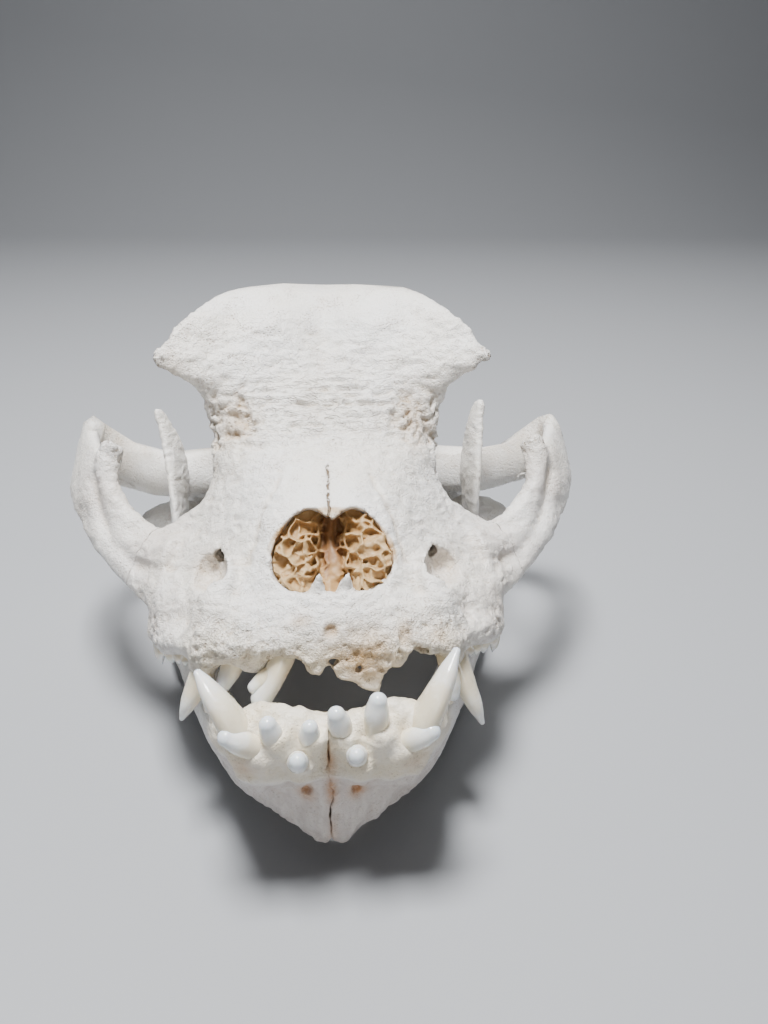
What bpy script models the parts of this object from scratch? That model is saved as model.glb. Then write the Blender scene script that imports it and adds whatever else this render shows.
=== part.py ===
"""A short-faced dog's skull with its lower jaw, life size, in metres, +Z up, muzzle towards -Y.

The bones are laid out in the skull's own frame, in millimetres: x to the animal's left,
y backwards from the front of the upper jaw, z up from the tooth row. Each bone is a set of
closed forms (lofts, ribbons and ellipsoids) made one body by a voxel remesh, then smoothed
and reduced. The whole is then tipped back as it rests on its lower jaw, on small flats.
"""

import math

import bmesh
import bpy
import numpy as np
from mathutils import Matrix, Vector

MM = 0.001
GAP = 0.3

# How it lies: the muzzle tipped up by this, and the touching places worn flat by this many millimetres
REST_TILT = math.radians(15.9)
FLAT_DEPTH = 0.5

BONE = (0.86, 0.82, 0.75, 1.0)
TURBINATE = (0.62, 0.44, 0.27, 1.0)
BONE_ROUGHNESS = 0.55
TURBINATE_ROUGHNESS = 0.7

CRANIUM_TRIANGLES = 4600
JAW_TRIANGLES = 1100
TURBINATE_TRIANGLES = 2300
VOXEL = 1.0
TURBINATE_VOXEL = 0.5
SMOOTH_PASSES = 5
BACK_BULGE = 2.0


# Curves and closed forms


def run_through(rows, count, before=0, after=0):
    """A smooth curve through rows of sizes, read at even steps of the length of their first three columns.

    The rows before its first and after its last only bend its ends.
    """
    rows = np.asarray(rows, float)
    steps = np.linalg.norm(np.diff(rows[:, :3], axis=0), axis=1)
    at = np.concatenate([[0], np.cumsum(np.maximum(steps, 1e-6))])
    slopes = np.gradient(rows, at, axis=0)
    read = np.linspace(at[before], at[len(at) - 1 - after], count)
    k = np.clip(np.searchsorted(at, read, side="right") - 1, 0, len(at) - 2)
    span = (at[k + 1] - at[k])[:, None]
    t = (read - at[k])[:, None] / span
    return (
        (2 * t**3 - 3 * t**2 + 1) * rows[k]
        + (t**3 - 2 * t**2 + t) * span * slopes[k]
        + (3 * t**2 - 2 * t**3) * rows[k + 1]
        + (t**3 - t**2) * span * slopes[k + 1]
    )


def rounded(angle, squareness):
    """Cosine and sine of a superellipse: 2 is an ellipse, more is squarer."""
    c, s = np.cos(angle), np.sin(angle)
    power = 2 / squareness
    return np.sign(c) * np.abs(c) ** power, np.sign(s) * np.abs(s) ** power


def loft(rows, rings=36, around=36):
    """A form lying along y. Rows: y, z of its base, z of its crown, half width at each, squareness."""
    y, low, high, half_low, half_high, square = run_through(rows, rings).T[:, :, None]
    c, s = rounded(np.linspace(0, 2 * np.pi, around, endpoint=False)[None, :], square)
    up = (s + 1) / 2
    x = (half_low + (half_high - half_low) * up) * c
    return np.stack([x, np.broadcast_to(y, x.shape), low + (high - low) * up], axis=-1)


def slices(rows, rings=72, around=34):
    """A form stacked along z, alike on both sides.

    Rows: z, y of the front on the midline, then x and y of four points from there round to the back.
    """
    stacked = []
    for row in run_through(rows, rings):
        side = row[2:].reshape(-1, 2)
        half = np.concatenate([[[0, row[1]]], side, [[0, side[-1, 1] + BACK_BULGE]]])
        other = half * (-1, 1)
        curve = run_through(np.concatenate([other[2:0:-1], half, other[-2:-3:-1]]), around, 2, 1)
        outline = np.concatenate([curve, curve[-2:0:-1] * (-1, 1)])
        stacked.append(np.column_stack([outline, np.full(len(outline), row[0])]))
    return np.array(stacked)


def ribbon(rows, rings=40, around=20, squareness=2.4):
    """A blade between two edges. Rows: one edge's point, the other edge's point, half the thickness."""
    keyed = run_through(rows, rings)
    one, other, half = keyed[:, :3], keyed[:, 3:6], keyed[:, 6:7]
    middle, across = (one + other) / 2, (one - other) / 2
    face = np.cross(np.gradient(middle, axis=0), across)
    face /= np.linalg.norm(face, axis=1, keepdims=True) + 1e-9
    c, s = rounded(np.linspace(0, 2 * np.pi, around, endpoint=False), squareness)
    return middle[:, None] + across[:, None] * c[None, :, None] + (face * half)[:, None] * s[None, :, None]


def spike(rows, rings=20, around=16, deep=1.0):
    """A round form along a path. Rows: x, y, z, radius. It is deep times as thick along y."""
    keyed = run_through(rows, rings)
    path, radius = keyed[:, :3], keyed[:, 3:4]
    along = np.gradient(path, axis=0)
    along /= np.linalg.norm(along, axis=1, keepdims=True)
    helper = np.array([0.0, 0.0, 1.0]) if abs(along[:, 2]).max() < 0.9 else np.array([1.0, 0.2, 0.0])
    side = np.cross(along, helper)
    side /= np.linalg.norm(side, axis=1, keepdims=True)
    other = np.cross(side, along)
    turn = np.linspace(0, 2 * np.pi, around, endpoint=False)
    ring = side[:, None] * np.cos(turn)[None, :, None] + other[:, None] * np.sin(turn)[None, :, None]
    return path[:, None] + ring * radius[:, None] * (1, deep, 1)


def ellipsoid(centre, radii, turned=(0, 0, 0), rings=18, around=24):
    """An ellipsoid turned by degrees about x, y and z."""
    polar = np.linspace(0.02, np.pi - 0.02, rings)[:, None]
    turn = np.linspace(0, 2 * np.pi, around, endpoint=False)[None, :]
    unit = np.stack(
        [np.sin(polar) * np.cos(turn), np.sin(polar) * np.sin(turn), np.cos(polar) + 0 * turn], axis=-1
    )
    spin = np.eye(3)
    for axis, degrees in zip("XYZ", turned):
        spin = np.array(Matrix.Rotation(math.radians(degrees), 3, axis)) @ spin
    return (unit * np.array(radii)) @ spin.T + np.array(centre)


def mirrored(form):
    """The same form on the animal's other side."""
    return (form * np.array([-1.0, 1.0, 1.0]))[:, ::-1]


def both(*forms):
    """Each form and its mirror image."""
    return [side for form in forms for side in (form, mirrored(form))]


def shell(form):
    """Points and faces of a closed skin over a form's rings, with a pole at each end."""
    rings, around = form.shape[:2]
    points = np.concatenate([form.reshape(-1, 3), form[0].mean(0)[None], form[-1].mean(0)[None]])
    start, end = rings * around, rings * around + 1
    i = np.arange(around)
    j = (i + 1) % around
    first = np.arange(rings - 1)[:, None] * around
    quads = np.stack([first + i, first + j, first + around + j, first + around + i], axis=-1).reshape(-1, 4)
    last = (rings - 1) * around
    caps = [(start, b, a) for a, b in zip(i, j)] + [(end, last + a, last + b) for a, b in zip(i, j)]
    faces = [tuple(q) for q in quads.tolist()] + [tuple(int(v) for v in cap) for cap in caps]
    corner = points[quads]
    volume = np.einsum("ij,ij->i", corner[:, 0], np.cross(corner[:, 1], corner[:, 2])).sum()
    volume += np.einsum("ij,ij->i", corner[:, 0], np.cross(corner[:, 2], corner[:, 3])).sum()
    if volume < 0:
        faces = [face[::-1] for face in faces]
    return points, faces


def mesh_object(name, forms):
    """One object that holds the skins of all the forms, in metres."""
    points, faces, base = [], [], 0
    for form in forms:
        own, sides = shell(form)
        points.append(own)
        faces += [tuple(v + base for v in side) for side in sides]
        base += len(own)
    mesh = bpy.data.meshes.new(name)
    mesh.from_pydata((np.concatenate(points) * MM).tolist(), [], faces)
    built = bmesh.new()
    built.from_mesh(mesh)
    bmesh.ops.recalc_face_normals(built, faces=built.faces)
    built.to_mesh(mesh)
    built.free()
    obj = bpy.data.objects.new(name, mesh)
    bpy.context.scene.collection.objects.link(obj)
    return obj


def settle(obj):
    """Makes what the object's modifiers show its own mesh."""
    graph = bpy.context.evaluated_depsgraph_get()
    made = bpy.data.meshes.new_from_object(obj.evaluated_get(graph))
    obj.modifiers.clear()
    old, obj.data = obj.data, made
    bpy.data.meshes.remove(old)
    return obj


def fuse(obj, voxel=VOXEL, passes=SMOOTH_PASSES):
    """Makes the forms one body and rounds the creases between them."""
    remesh = obj.modifiers.new("one_body", "REMESH")
    remesh.mode = "VOXEL"
    remesh.voxel_size = voxel * MM
    smooth = obj.modifiers.new("rounding", "SMOOTH")
    smooth.factor = 0.5
    smooth.iterations = passes
    return settle(obj)


def cut(obj, cutter, operation="DIFFERENCE"):
    """Cuts or joins one object with another, and removes the other."""
    boolean = obj.modifiers.new(cutter.name, "BOOLEAN")
    boolean.object = cutter
    boolean.operation = operation
    settle(obj)
    bpy.data.objects.remove(cutter)
    return obj


def reduce_to(obj, triangles):
    """Reduces the mesh to about this many triangles, alike on both sides where it is alike."""
    obj.data.calc_loop_triangles()
    thinner = obj.modifiers.new("fewer_faces", "DECIMATE")
    thinner.ratio = min(1.0, triangles / len(obj.data.loop_triangles))
    return settle(obj)


def keep_largest(obj):
    """Drops every closed surface of the object but the largest."""
    built = bmesh.new()
    built.from_mesh(obj.data)
    left, groups = set(built.verts), []
    while left:
        group, edge = set(), [left.pop()]
        while edge:
            vert = edge.pop()
            group.add(vert)
            for link in vert.link_edges:
                other = link.other_vert(vert)
                if other in left:
                    left.remove(other)
                    edge.append(other)
        groups.append(group)
    groups.sort(key=len)
    for group in groups[:-1]:
        bmesh.ops.delete(built, geom=list(group), context="VERTS")
    built.to_mesh(obj.data)
    built.free()
    return obj


def flip(obj):
    """Turns an object of the animal's left into one of its right."""
    obj.data.transform(Matrix.Scale(-1, 4, (1, 0, 0)))
    obj.data.flip_normals()
    return obj


def points_of(obj):
    flat = np.empty(len(obj.data.vertices) * 3)
    obj.data.vertices.foreach_get("co", flat)
    return flat.reshape(-1, 3) / MM


def set_points(obj, points):
    obj.data.vertices.foreach_set("co", (points * MM).ravel())
    obj.data.update()


def press(obj, touches):
    """Soft dents and swellings. Each touch: centre, radii, and how far the middle moves, as a vector."""
    points = points_of(obj)
    moved = points.copy()
    for centre, radii, push in touches:
        reach = (((points - np.array(centre)) / np.array(radii)) ** 2).sum(1)
        moved += np.exp(-1.5 * reach)[:, None] * np.array(push)
    set_points(obj, moved)
    return obj


# Cranium. Rows are in the order that slices, loft, ribbon and spike give, ellipsoids as centre, radii
# and turn, and where only one side is listed the other is its mirror image

FACE = (
    (7.0, 1.5, 13, 2.0, 25, 5.5, 34.5, 15, 42, 31, 33, 55),
    (10.0, 0.5, 12.5, 1.6, 25, 5.4, 34.5, 15.5, 42.6, 32, 34, 55),
    (14.0, 1.2, 12, 2.6, 24.5, 7.0, 33.5, 17.5, 44.5, 35, 35, 54),
    (20.0, 6.0, 12.5, 8.8, 23.5, 16.0, 33, 28, 45, 42, 35, 52),
    (24.0, 9.5, 12.8, 12.2, 23.5, 21.5, 32.5, 33, 42, 43.5, 31, 52),
    (28.0, 12.8, 12.6, 15.8, 22.5, 26, 30.5, 37, 36, 44, 28, 52),
    (32.0, 16.5, 12.3, 19.5, 21, 29, 27.5, 37, 30.5, 41.5, 26, 53),
    (38.0, 24.0, 12, 27.5, 20, 34.5, 25.5, 41.5, 28, 46, 24, 56),
    (42.5, 32.0, 12, 34.5, 20, 39, 25.5, 44, 28, 48.5, 23.5, 58),
    (47.0, 40.0, 12, 41.5, 20, 44, 26, 48, 28.8, 51.8, 23, 60),
    (54.0, 47.0, 12, 47.5, 20, 48.3, 26.5, 49.8, 30, 52.5, 23, 62),
    (60.0, 51.5, 12, 51.5, 21, 50.8, 28, 50, 32, 50.5, 24, 63),
    (63.5, 54.0, 13, 53.5, 24, 51.6, 33, 49.6, 38, 49, 26, 63),
    (66.5, 55.8, 14, 55.0, 26, 52.5, 36, 49.8, 41.5, 48.8, 28, 63),
    (70.0, 58.0, 14, 57.0, 26, 54.8, 35, 52.2, 40.3, 51, 28, 64),
    (75.5, 61.7, 13, 60.5, 23, 58.5, 30.5, 56.3, 35.3, 55.5, 26, 66),
    (80.0, 66.0, 12, 64.5, 20, 62.5, 26, 61.2, 30, 61.8, 21, 71),
    (83.0, 70.5, 10, 68.0, 16.5, 66.5, 21.5, 66, 25.3, 67, 16, 77),
    (85.0, 77.0, 7, 74.5, 12, 73, 16, 72.8, 19, 74.5, 10, 86),
    (86.0, 81.0, 4, 80, 7, 79, 9, 79, 11, 80.5, 7, 87),
)
BRAINCASE = (
    (56, 32, 64, 15, 20, 2.6),
    (64, 28, 74, 18, 23, 2.9),
    (73, 24, 81, 20, 26, 3.0),
    (84, 22, 84, 23, 28, 2.8),
    (96, 21, 84, 28, 29.5, 2.4),
    (108, 20, 81, 30, 30, 2.3),
    (121, 20, 75, 28, 27, 2.3),
    (131, 22, 66, 22, 21, 2.3),
    (136, 26, 58, 16, 14, 2.3),
)
BROW_BACK = (
    (55, 52, 64, 14, 28, 2.8),
    (60, 47, 70, 17, 34, 3.0),
    (66, 45, 77, 19, 33, 3.1),
    (72, 44, 81.5, 21, 29.5, 3.0),
    (80, 43, 84.5, 22, 26.5, 2.8),
    (90, 43, 85, 25, 26, 2.5),
    (102, 44, 82, 27, 27, 2.4),
)
SKULL_BASE = (
    (54, 17, 34, 12, 14, 2.4),
    (76, 17, 32, 8, 14, 2.4),
    (98, 17, 32, 9, 16, 2.4),
    (118, 18, 32, 10, 16, 2.4),
    (136, 20, 32, 9, 12, 2.4),
)
ARCH = (
    (34, 37, 25, 36, 28, 8, 5.5),
    (40, 41.5, 23.5, 44, 34.5, 9.5, 5.0),
    (46, 44.5, 24.5, 50.5, 40.5, 13.5, 4.2),
    (51, 48, 28.5, 57, 46.5, 18.5, 3.4),
    (55.2, 51.5, 34.5, 62.8, 53.5, 23.5, 2.8),
    (57.2, 57, 42, 66.4, 62, 28, 2.7),
    (62, 69, 46, 69.0, 71, 30.5, 2.6),
    (65.3, 82.5, 49.5, 68.3, 80, 30.5, 2.5),
    (61.2, 90.5, 44, 62.2, 87, 28.5, 2.6),
    (50.5, 96, 38, 50.5, 93, 24, 3.2),
    (38, 100, 37, 39, 97, 23, 4.0),
    (28, 104, 38, 28, 101, 24, 5.0),
)
ORBIT_RIM = (
    (38, 41, 22.5, 2.6),
    (44.5, 44, 23.5, 2.8),
    (50.5, 47.5, 28, 2.8),
    (54.5, 51, 34, 2.7),
    (55.4, 54.5, 40.5, 3.2),
    (54.2, 56.4, 44.6, 3.0),
)
TOOTH_ROW = (
    (5, 3.5, 13, 5, 4, 7.5, 3.0),
    (14, 3.5, 13, 14.5, 4, 6.5, 3.8),
    (23, 6.5, 12, 24, 7.5, 5.0, 4.8),
    (30, 13, 11, 31, 13, 3.5, 5.0),
    (34, 21, 10, 35.5, 21, 1.5, 4.8),
    (37, 31, 10, 38.6, 31, 0, 4.8),
    (38.5, 42, 10, 39.6, 42, 0, 4.8),
    (36, 52, 12, 36.6, 53, 1.5, 4.4),
    (29, 60, 14, 31, 60, 5, 3.6),
)
NUCHAL_CREST = (
    (0, 139, 72, 0, 122, 60, 2.6),
    (12, 138, 69, 9, 122, 57, 2.4),
    (24, 132, 59, 19, 118, 48, 2.3),
    (31, 126, 46, 24, 114, 38, 2.3),
    (33, 120, 34, 25, 111, 30, 2.4),
)
SAGITTAL_CREST = (
    (0, 88, 86, 0, 88, 74, 2.0),
    (0, 104, 84.5, 0, 104, 70, 1.8),
    (0, 122, 79.5, 0, 120, 62, 1.8),
    (0, 137, 73, 0, 130, 58, 2.0),
)
PTERYGOID = (
    (10, 60, 24, 12, 58, 7, 1.8),
    (9.5, 74, 25, 11, 74, 9, 1.6),
    (9, 86, 26, 9, 84, 13, 1.6),
)
HINGE_STOP = ((40, 105, 27, 5.0), (42, 109, 21, 4.0), (42.3, 109.6, 16, 2.6), (42.3, 109.2, 13.2, 1.0))
NECK_PROCESS = ((25, 123, 32, 7), (26, 128, 22, 4.6), (25.5, 130, 14, 2.8), (25, 130, 9.5, 1.2))
HINGE_SEAT = ((38, 101, 27), (15, 6.5, 5))
EAR_DOME = ((19, 113, 17), (8.5, 13, 8.5), (0, 0, -14))
NECK_JOINT = ((9.8, 135.5, 28), (5.8, 7, 9), (0, 25, 0))
PALATE_BACK = (((10, 54, 10.5), (9, 10, 3.4)), ((0, 56, 10.5), (10, 9, 3.2)))
CANINE_ROOT = ((21, 18, 24, 2.6), (23.5, 12.5, 17, 4.0), (25.8, 10.2, 10, 4.8), (26.8, 9, 5.5, 4.0))
CHEEK_ROOTS = ((31.8, 19, 8, 4.2), (35.4, 26, 6, 4.6), (37.8, 33, 4.5, 4.6))

# The plate left where the front teeth broke out: places across it, and its lower edge at each
BROKEN_EDGE = (
    (-8.6, 8.8),
    (-6.4, 8.0),
    (-5.2, 6.6),
    (-4.3, 4.6),
    (-2.9, 3.8),
    (-1.5, 4.1),
    (-0.5, 5.8),
    (0.6, 5.6),
    (1.5, 3.6),
    (3.4, 2.6),
    (5.2, 2.0),
    (6.8, 0.6),
    (9.0, 0.0),
    (10.6, 0.5),
    (11.4, 3.4),
    (12.6, 5.8),
    (14.2, 7.2),
)
BROKEN_TOP, BROKEN_BACK, BROKEN_FRONT, BROKEN_HALF = 12.0, 1.4, 0.4, 1.4
BROKEN_LUMP = ((12.9, 5.0, 11, 3.4), (13.6, 3.0, 7.0, 2.6), (14.0, 2.0, 4.0, 1.9))
TOOTH_LUMPS = (
    ((-25.2, 6.6, 8.4), (4.4, 4.6, 5.2)),
    ((-15.8, 5.4, 7.8), (4.8, 4.2, 5.4)),
)
UPPER_SOCKETS = (
    ((23.5, 11.5, 17, 4.0), (25.4, 9.2, 10, 4.4), (26.6, 8.0, 5.0, 4.0), (27.4, 7.6, 2.4, 3.0)),
    ((20.4, 9.5, 13, 3.4), (20.8, 6.8, 8.5, 3.4), (21.0, 5.8, 5.2, 2.8)),
    ((12.5, 7.0, 14, 3.2), (12.8, 5.0, 10, 3.2), (12.6, 3.8, 7.4, 2.6)),
)


def cranium_forms():
    """The closed forms of the upper skull, without its teeth."""
    one_of_each = [
        slices(FACE),
        loft(BRAINCASE),
        loft(SKULL_BASE),
        loft(BROW_BACK),
        ribbon(SAGITTAL_CREST),
        spike(BROKEN_LUMP),
        *[ellipsoid(centre, radii) for centre, radii in TOOTH_LUMPS],
    ]
    return one_of_each + both(
        ribbon(ARCH, rings=64),
        spike(ORBIT_RIM),
        ribbon(TOOTH_ROW, rings=48),
        ribbon(NUCHAL_CREST),
        ribbon(PTERYGOID),
        spike(CANINE_ROOT),
        *[spike(rows) for rows in UPPER_SOCKETS],
        *[ellipsoid(row[:3], (row[3], row[3] + 1, row[3])) for row in CHEEK_ROOTS],
        ellipsoid(*HINGE_SEAT),
        spike(HINGE_STOP),
        ellipsoid(*EAR_DOME),
        spike(NECK_PROCESS),
        ellipsoid(*NECK_JOINT),
        *[ellipsoid(centre, radii) for centre, radii in PALATE_BACK],
    )


def broken_plate(rings=30, around=8):
    """The thin plate of bone left where the front teeth broke out, with a ragged lower edge."""
    rows = []
    for x, edge in BROKEN_EDGE:
        rows.append([x, BROKEN_BACK, BROKEN_TOP, x, BROKEN_FRONT, edge, BROKEN_HALF])
    return ribbon(rows, rings, around, squareness=3.5)


# Dents and swellings, on the midline and at the animal's left
CRANIUM_TOUCHES = (
    ((0, 60, 72), (7, 16, 13), (0, 1.2, -0.8)),
    ((0, 30, 5), (22, 34, 7), (0, 0, 4.0)),
)
SIDE_TOUCHES = (
    ((27.5, 23, 19.5), (7, 7, 7), (0.3, 1.6, 0)),
    ((32.0, 13, 8), (4.6, 7, 11), (-2.2, 2.2, 0)),
    ((43, 34, 17), (8, 6, 4.5), (0, 1.8, 0)),
    ((39.5, 50, 71.5), (3, 7, 3.6), (-0.8, 0, -1.5)),
    ((9, 3, 8), (14, 6, 4), (0, -0.9, 0)),
    ((11, 61, 78), (9, 10, 9), (0, -1.0, 0.5)),
    ((24, 60, 77), (7, 9, 8), (0, 1.1, 0)),
    ((18.5, 18, 23), (4.5, 9, 10), (0, 1.3, 0)),
    ((14, 139, 50), (9, 8, 12), (0, -2.6, 0)),
    ((62, 52, 27), (6, 9, 5), (-1.2, 0.8, 0)),
)


def two_sided(touches):
    """The touches and their mirror images."""
    side = np.array((-1, 1, 1))
    return list(touches) + [(side * centre, radii, side * push) for centre, radii, push in touches]


# The nasal opening: its middle, how its plane leans back, and half its outline as offsets across and up
NOSTRIL_CENTRE = (1.1, 11.5, 27.3)
NOSTRIL_LEAN = math.radians(41)
NOSTRIL_OUTLINE = (
    (0, 7.2),
    (2.3, 9.2),
    (4.8, 10.1),
    (8.8, 7.6),
    (11.6, 2.8),
    (12.9, -2.4),
    (12.2, -6.4),
    (9.4, -8.9),
    (5.4, -9.9),
    (0, -10.1),
)
NOSTRIL_DEPTH = 26.0
NOSE_DROP = math.radians(14)
NOSE_RUN = np.array([0, math.cos(NOSE_DROP), -math.sin(NOSE_DROP)])
NOSE_UP = np.array([0, math.sin(NOSTRIL_LEAN), math.cos(NOSTRIL_LEAN)])


def nostril_outline(count, inset=0.0):
    """The heart-shaped outline of the nasal opening in its own plane, as offsets across and up."""
    half = np.array(NOSTRIL_OUTLINE)
    whole = np.concatenate([half, half[-2:0:-1] * (-1, 1)])
    closed = np.concatenate([whole[-2:], whole, whole[:3]])
    outline = run_through(closed, count + 1, 2, 2)[:-1]
    size = np.linalg.norm(outline, axis=1, keepdims=True)
    return outline * (1 - inset / size)


def nasal_tunnel(inset=0.0, front=8.0, back=NOSTRIL_DEPTH, count=28):
    """The nasal cavity, as rings of the opening's outline running back and a little down."""
    outline = nostril_outline(count, inset)
    flat = outline[:, :1] * np.array([1.0, 0, 0]) + outline[:, 1:] * NOSE_UP
    rings = []
    for depth, width in ((-front, 1.0), (0.0, 1.0), (3.0, 1.02), (back * 0.6, 0.95), (back, 0.75)):
        rings.append(np.array(NOSTRIL_CENTRE) + flat * width + NOSE_RUN * depth)
    return np.array(rings)


INFRAORBITAL = ((25.8, 13, 23.0, 4.5), (26.6, 20.5, 21.0, 4.5), (26.3, 27, 20.6, 3.2), (24.4, 34, 21.6, 1.6))
EAR_OPENING = ((42, 108, 27, 3.2), (33, 108, 27, 3.0), (25, 109, 27, 1.8))
FORAMEN_MAGNUM = ((0, 152, 33, 7.6), (0, 140, 33.5, 7.4), (0, 131, 35, 6.4), (0, 125, 36, 3.4))
CHOANA_CENTRE, CHOANA_RADII = (0, 60, 15.2), (7.5, 11, 3.8)
NASAL_SUTURE = ((0, 14.0, 36.0, 0, 19.0, 32.0, 0.4), (0, 29.5, 44.5, 0, 32.0, 41.3, 0.2))
NASAL_SPINES = (
    ((-2.4, 9.3, 17.8, 1.7), (-2.0, 7.6, 20.3, 1.3), (-1.6, 6.7, 22.3, 0.4)),
    ((3.5, 9.3, 18.0, 1.7), (3.8, 7.6, 20.5, 1.3), (4.3, 6.7, 22.4, 0.4)),
)


def build_cranium():
    cranium = mesh_object("cranium", cranium_forms())
    fuse(cranium)
    press(cranium, two_sided(SIDE_TOUCHES) + list(CRANIUM_TOUCHES))
    reduce_to(cranium, CRANIUM_TRIANGLES)
    cut(cranium, mesh_object("nasal_hole", [nasal_tunnel(count=24)]))
    openings = both(spike(INFRAORBITAL, 4, 10), spike(EAR_OPENING, 4, 8))
    openings.append(spike(FORAMEN_MAGNUM, 5, 14))
    openings.append(ellipsoid(CHOANA_CENTRE, CHOANA_RADII, rings=8, around=12))
    openings.append(ribbon(NASAL_SUTURE, rings=3, around=6, squareness=2))
    for opening in openings:
        cut(cranium, mesh_object("opening", [opening]))
    return cranium


# Lower jaw, the animal's left half

JAW_BODY = (
    (-4.0, -9.5, 0.0, -4.0, 1.8, -34.8, 4.4),
    (2.0, -9.6, 0.0, 2.0, 2.0, -34.6, 4.5),
    (8.0, -10.5, 1.0, 5.0, 4.0, -31.8, 4.8),
    (14.5, -9.0, 1.5, 10.0, 8.0, -29.3, 5.4),
    (19.5, -2.5, -3.0, 15.5, 13.5, -27.8, 5.4),
    (24.0, 9.0, -6.5, 20.0, 22.0, -27.3, 5.0),
    (28.8, 24.0, -7.0, 25.5, 33.0, -26.8, 4.6),
    (33.5, 40.0, -6.0, 31.5, 46.0, -25.4, 4.4),
    (38.0, 56.0, -3.0, 37.0, 59.0, -22.4, 4.2),
    (42.5, 69.0, 2.0, 42.5, 73.0, -18.0, 3.8),
    (46.0, 79.0, 4.0, 46.5, 87.0, -13.0, 3.2),
)
JAW_RAMUS = (
    (49.5, 104, -8, 40.5, 56, -16, 3.4),
    (49.0, 101, 2, 41.0, 61, -4, 3.2),
    (47.0, 97, 11, 41.0, 65, 9, 2.5),
    (43.8, 93, 20, 42.0, 69, 21, 1.9),
    (41.8, 90, 31, 44.0, 74, 32, 1.8),
    (42.8, 88.5, 41, 46.0, 78.5, 42, 1.6),
    (45.8, 86, 49.5, 47.6, 81.5, 51.5, 1.2),
)
JAW_NECK = ((46.5, 91, -3, 4.6), (48.0, 95.5, 5, 4.4), (49.0, 98.8, 12, 3.8), (49.5, 100.5, 16.5, 3.2))
ANGLE = ((47, 92, -7, 5.0), (49, 101, -6.5, 4.2), (48.5, 107, -5, 2.8), (47.5, 110.5, -2.5, 1.4))
JAW_HINGE = ((49.5, 100.5, 17.0), (9.5, 4.0, 4.0), (0, 12, -12))
CHIN_RIDGE = ((16.5, -8, -6, 2.8), (13, -4.5, -17, 2.2), (8, 0, -28, 1.6))
# Bone that swells over the roots of the front teeth
SOCKETS = (
    ((13.8, -5.5, -16, 3.0), (15.6, -8.4, -9, 4.0), (17.4, -9.6, -4, 3.9), (18.6, -9.8, -0.6, 3.1)),
    ((8.6, -6, -14, 2.8), (9.2, -9.4, -8, 3.4), (9.9, -11.9, -3.6, 3.3), (10.2, -12.8, -1.4, 2.6)),
    ((2.6, -5.5, -14, 2.6), (2.8, -9.0, -8, 3.2), (2.9, -11.4, -3.8, 3.1), (2.9, -12.4, -1.8, 2.5)),
    ((5.8, -6, -15, 2.8), (5.8, -9.8, -10.5, 3.3), (5.8, -12.2, -8.4, 3.0), (5.7, -13.3, -7.4, 2.5)),
    ((10.4, -6, -15, 2.8), (11.8, -9.4, -10, 3.6), (13.6, -11.4, -6.8, 3.4), (15.2, -12.3, -5.2, 2.7)),
)


def jaw_forms():
    return [
        *[spike(rows) for rows in SOCKETS],
        ribbon(JAW_BODY, rings=56, around=28, squareness=2.8),
        ribbon(JAW_RAMUS, rings=40, around=28),
        spike(CHIN_RIDGE),
        ellipsoid(*JAW_HINGE),
        spike(JAW_NECK),
        spike(ANGLE),
    ]


MIDLINE = 0.25
JAW_TOUCHES = (
    ((-0.6, 1.8, -36), (2.0, 6, 5), (0, 0, 4.0)),
    ((7.0, 2.0, -34.5), (3.6, 7, 4), (0, 0, 1.8)),
    ((12, -6, -22), (8, 5, 6), (0, 1.3, 0)),
    ((5, -8, -23), (4, 5, 5), (0, 0.7, 0)),
)
CORONOID_TOUCHES = {
    1: ((46, 84.5, 51), (9, 14, 16), (-1.2, 0, 2.4)),
    -1: ((46, 84.5, 52), (9, 9, 11), (1.2, 0, 0.8)),
}
JAW_HOLES = (
    ((4.4, -16, -16.0, 1.5), (4.9, -8, -17.4, 1.4), (5.6, -4, -18.2, 0.9)),
    ((31, 9, -15.5, 1.3), (24, 11, -16, 1.1), (19, 13, -16.5, 0.7)),
)


def midline_block():
    """What is cut off the front of a jaw half where it meets the other."""
    corners = ((MIDLINE, -44), (MIDLINE, 12), (-30, 12), (-30, -44))
    return np.array([[(x, y, z) for x, z in corners] for y in (-30, 30)], float)


def build_jaw(name, side):
    jaw = mesh_object(name, jaw_forms())
    fuse(jaw)
    press(jaw, JAW_TOUCHES + (CORONOID_TOUCHES[side],))
    reduce_to(jaw, JAW_TRIANGLES)
    cut(jaw, mesh_object("midline", [midline_block()]))
    for hole in JAW_HOLES:
        cut(jaw, mesh_object("opening", [spike(hole, 3, 7)]))
    if side < 0:
        flip(jaw)
    return jaw


# Teeth of both sides, each worn and set in its own way: x, y, z and radius from root to tip

LOWER_CANINE_LEFT = (
    (15.5, -6.0, -11, 1.7),
    (17.5, -9.3, -4, 3.1),
    (20.1, -9.8, 1.8, 2.75),
    (22.8, -8.4, 7.0, 1.95),
    (24.9, -6.5, 10.9, 0.8),
)
LOWER_CANINE_RIGHT = (
    (-15.5, -6.0, -11, 1.7),
    (-17.2, -9.3, -4, 3.1),
    (-19.8, -9.8, 1.2, 2.7),
    (-22.8, -8.4, 5.3, 1.95),
    (-25.2, -6.6, 8.2, 0.8),
)
UPPER_CANINE_LEFT = (
    (26.5, 11, 9, 2.4),
    (27.9, 9.0, 2, 2.5),
    (29.6, 7.6, -3.0, 2.25),
    (31.3, 6.8, -7.0, 1.7),
    (32.9, 6.8, -10.9, 0.6),
)
UPPER_CANINE_RIGHT = (
    (-25.0, 11, 10, 2.4),
    (-26.4, 9.0, 3.6, 2.5),
    (-28.2, 7.8, -0.8, 2.3),
    (-29.9, 7.2, -4.4, 1.75),
    (-31.4, 7.2, -7.6, 0.6),
)
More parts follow.
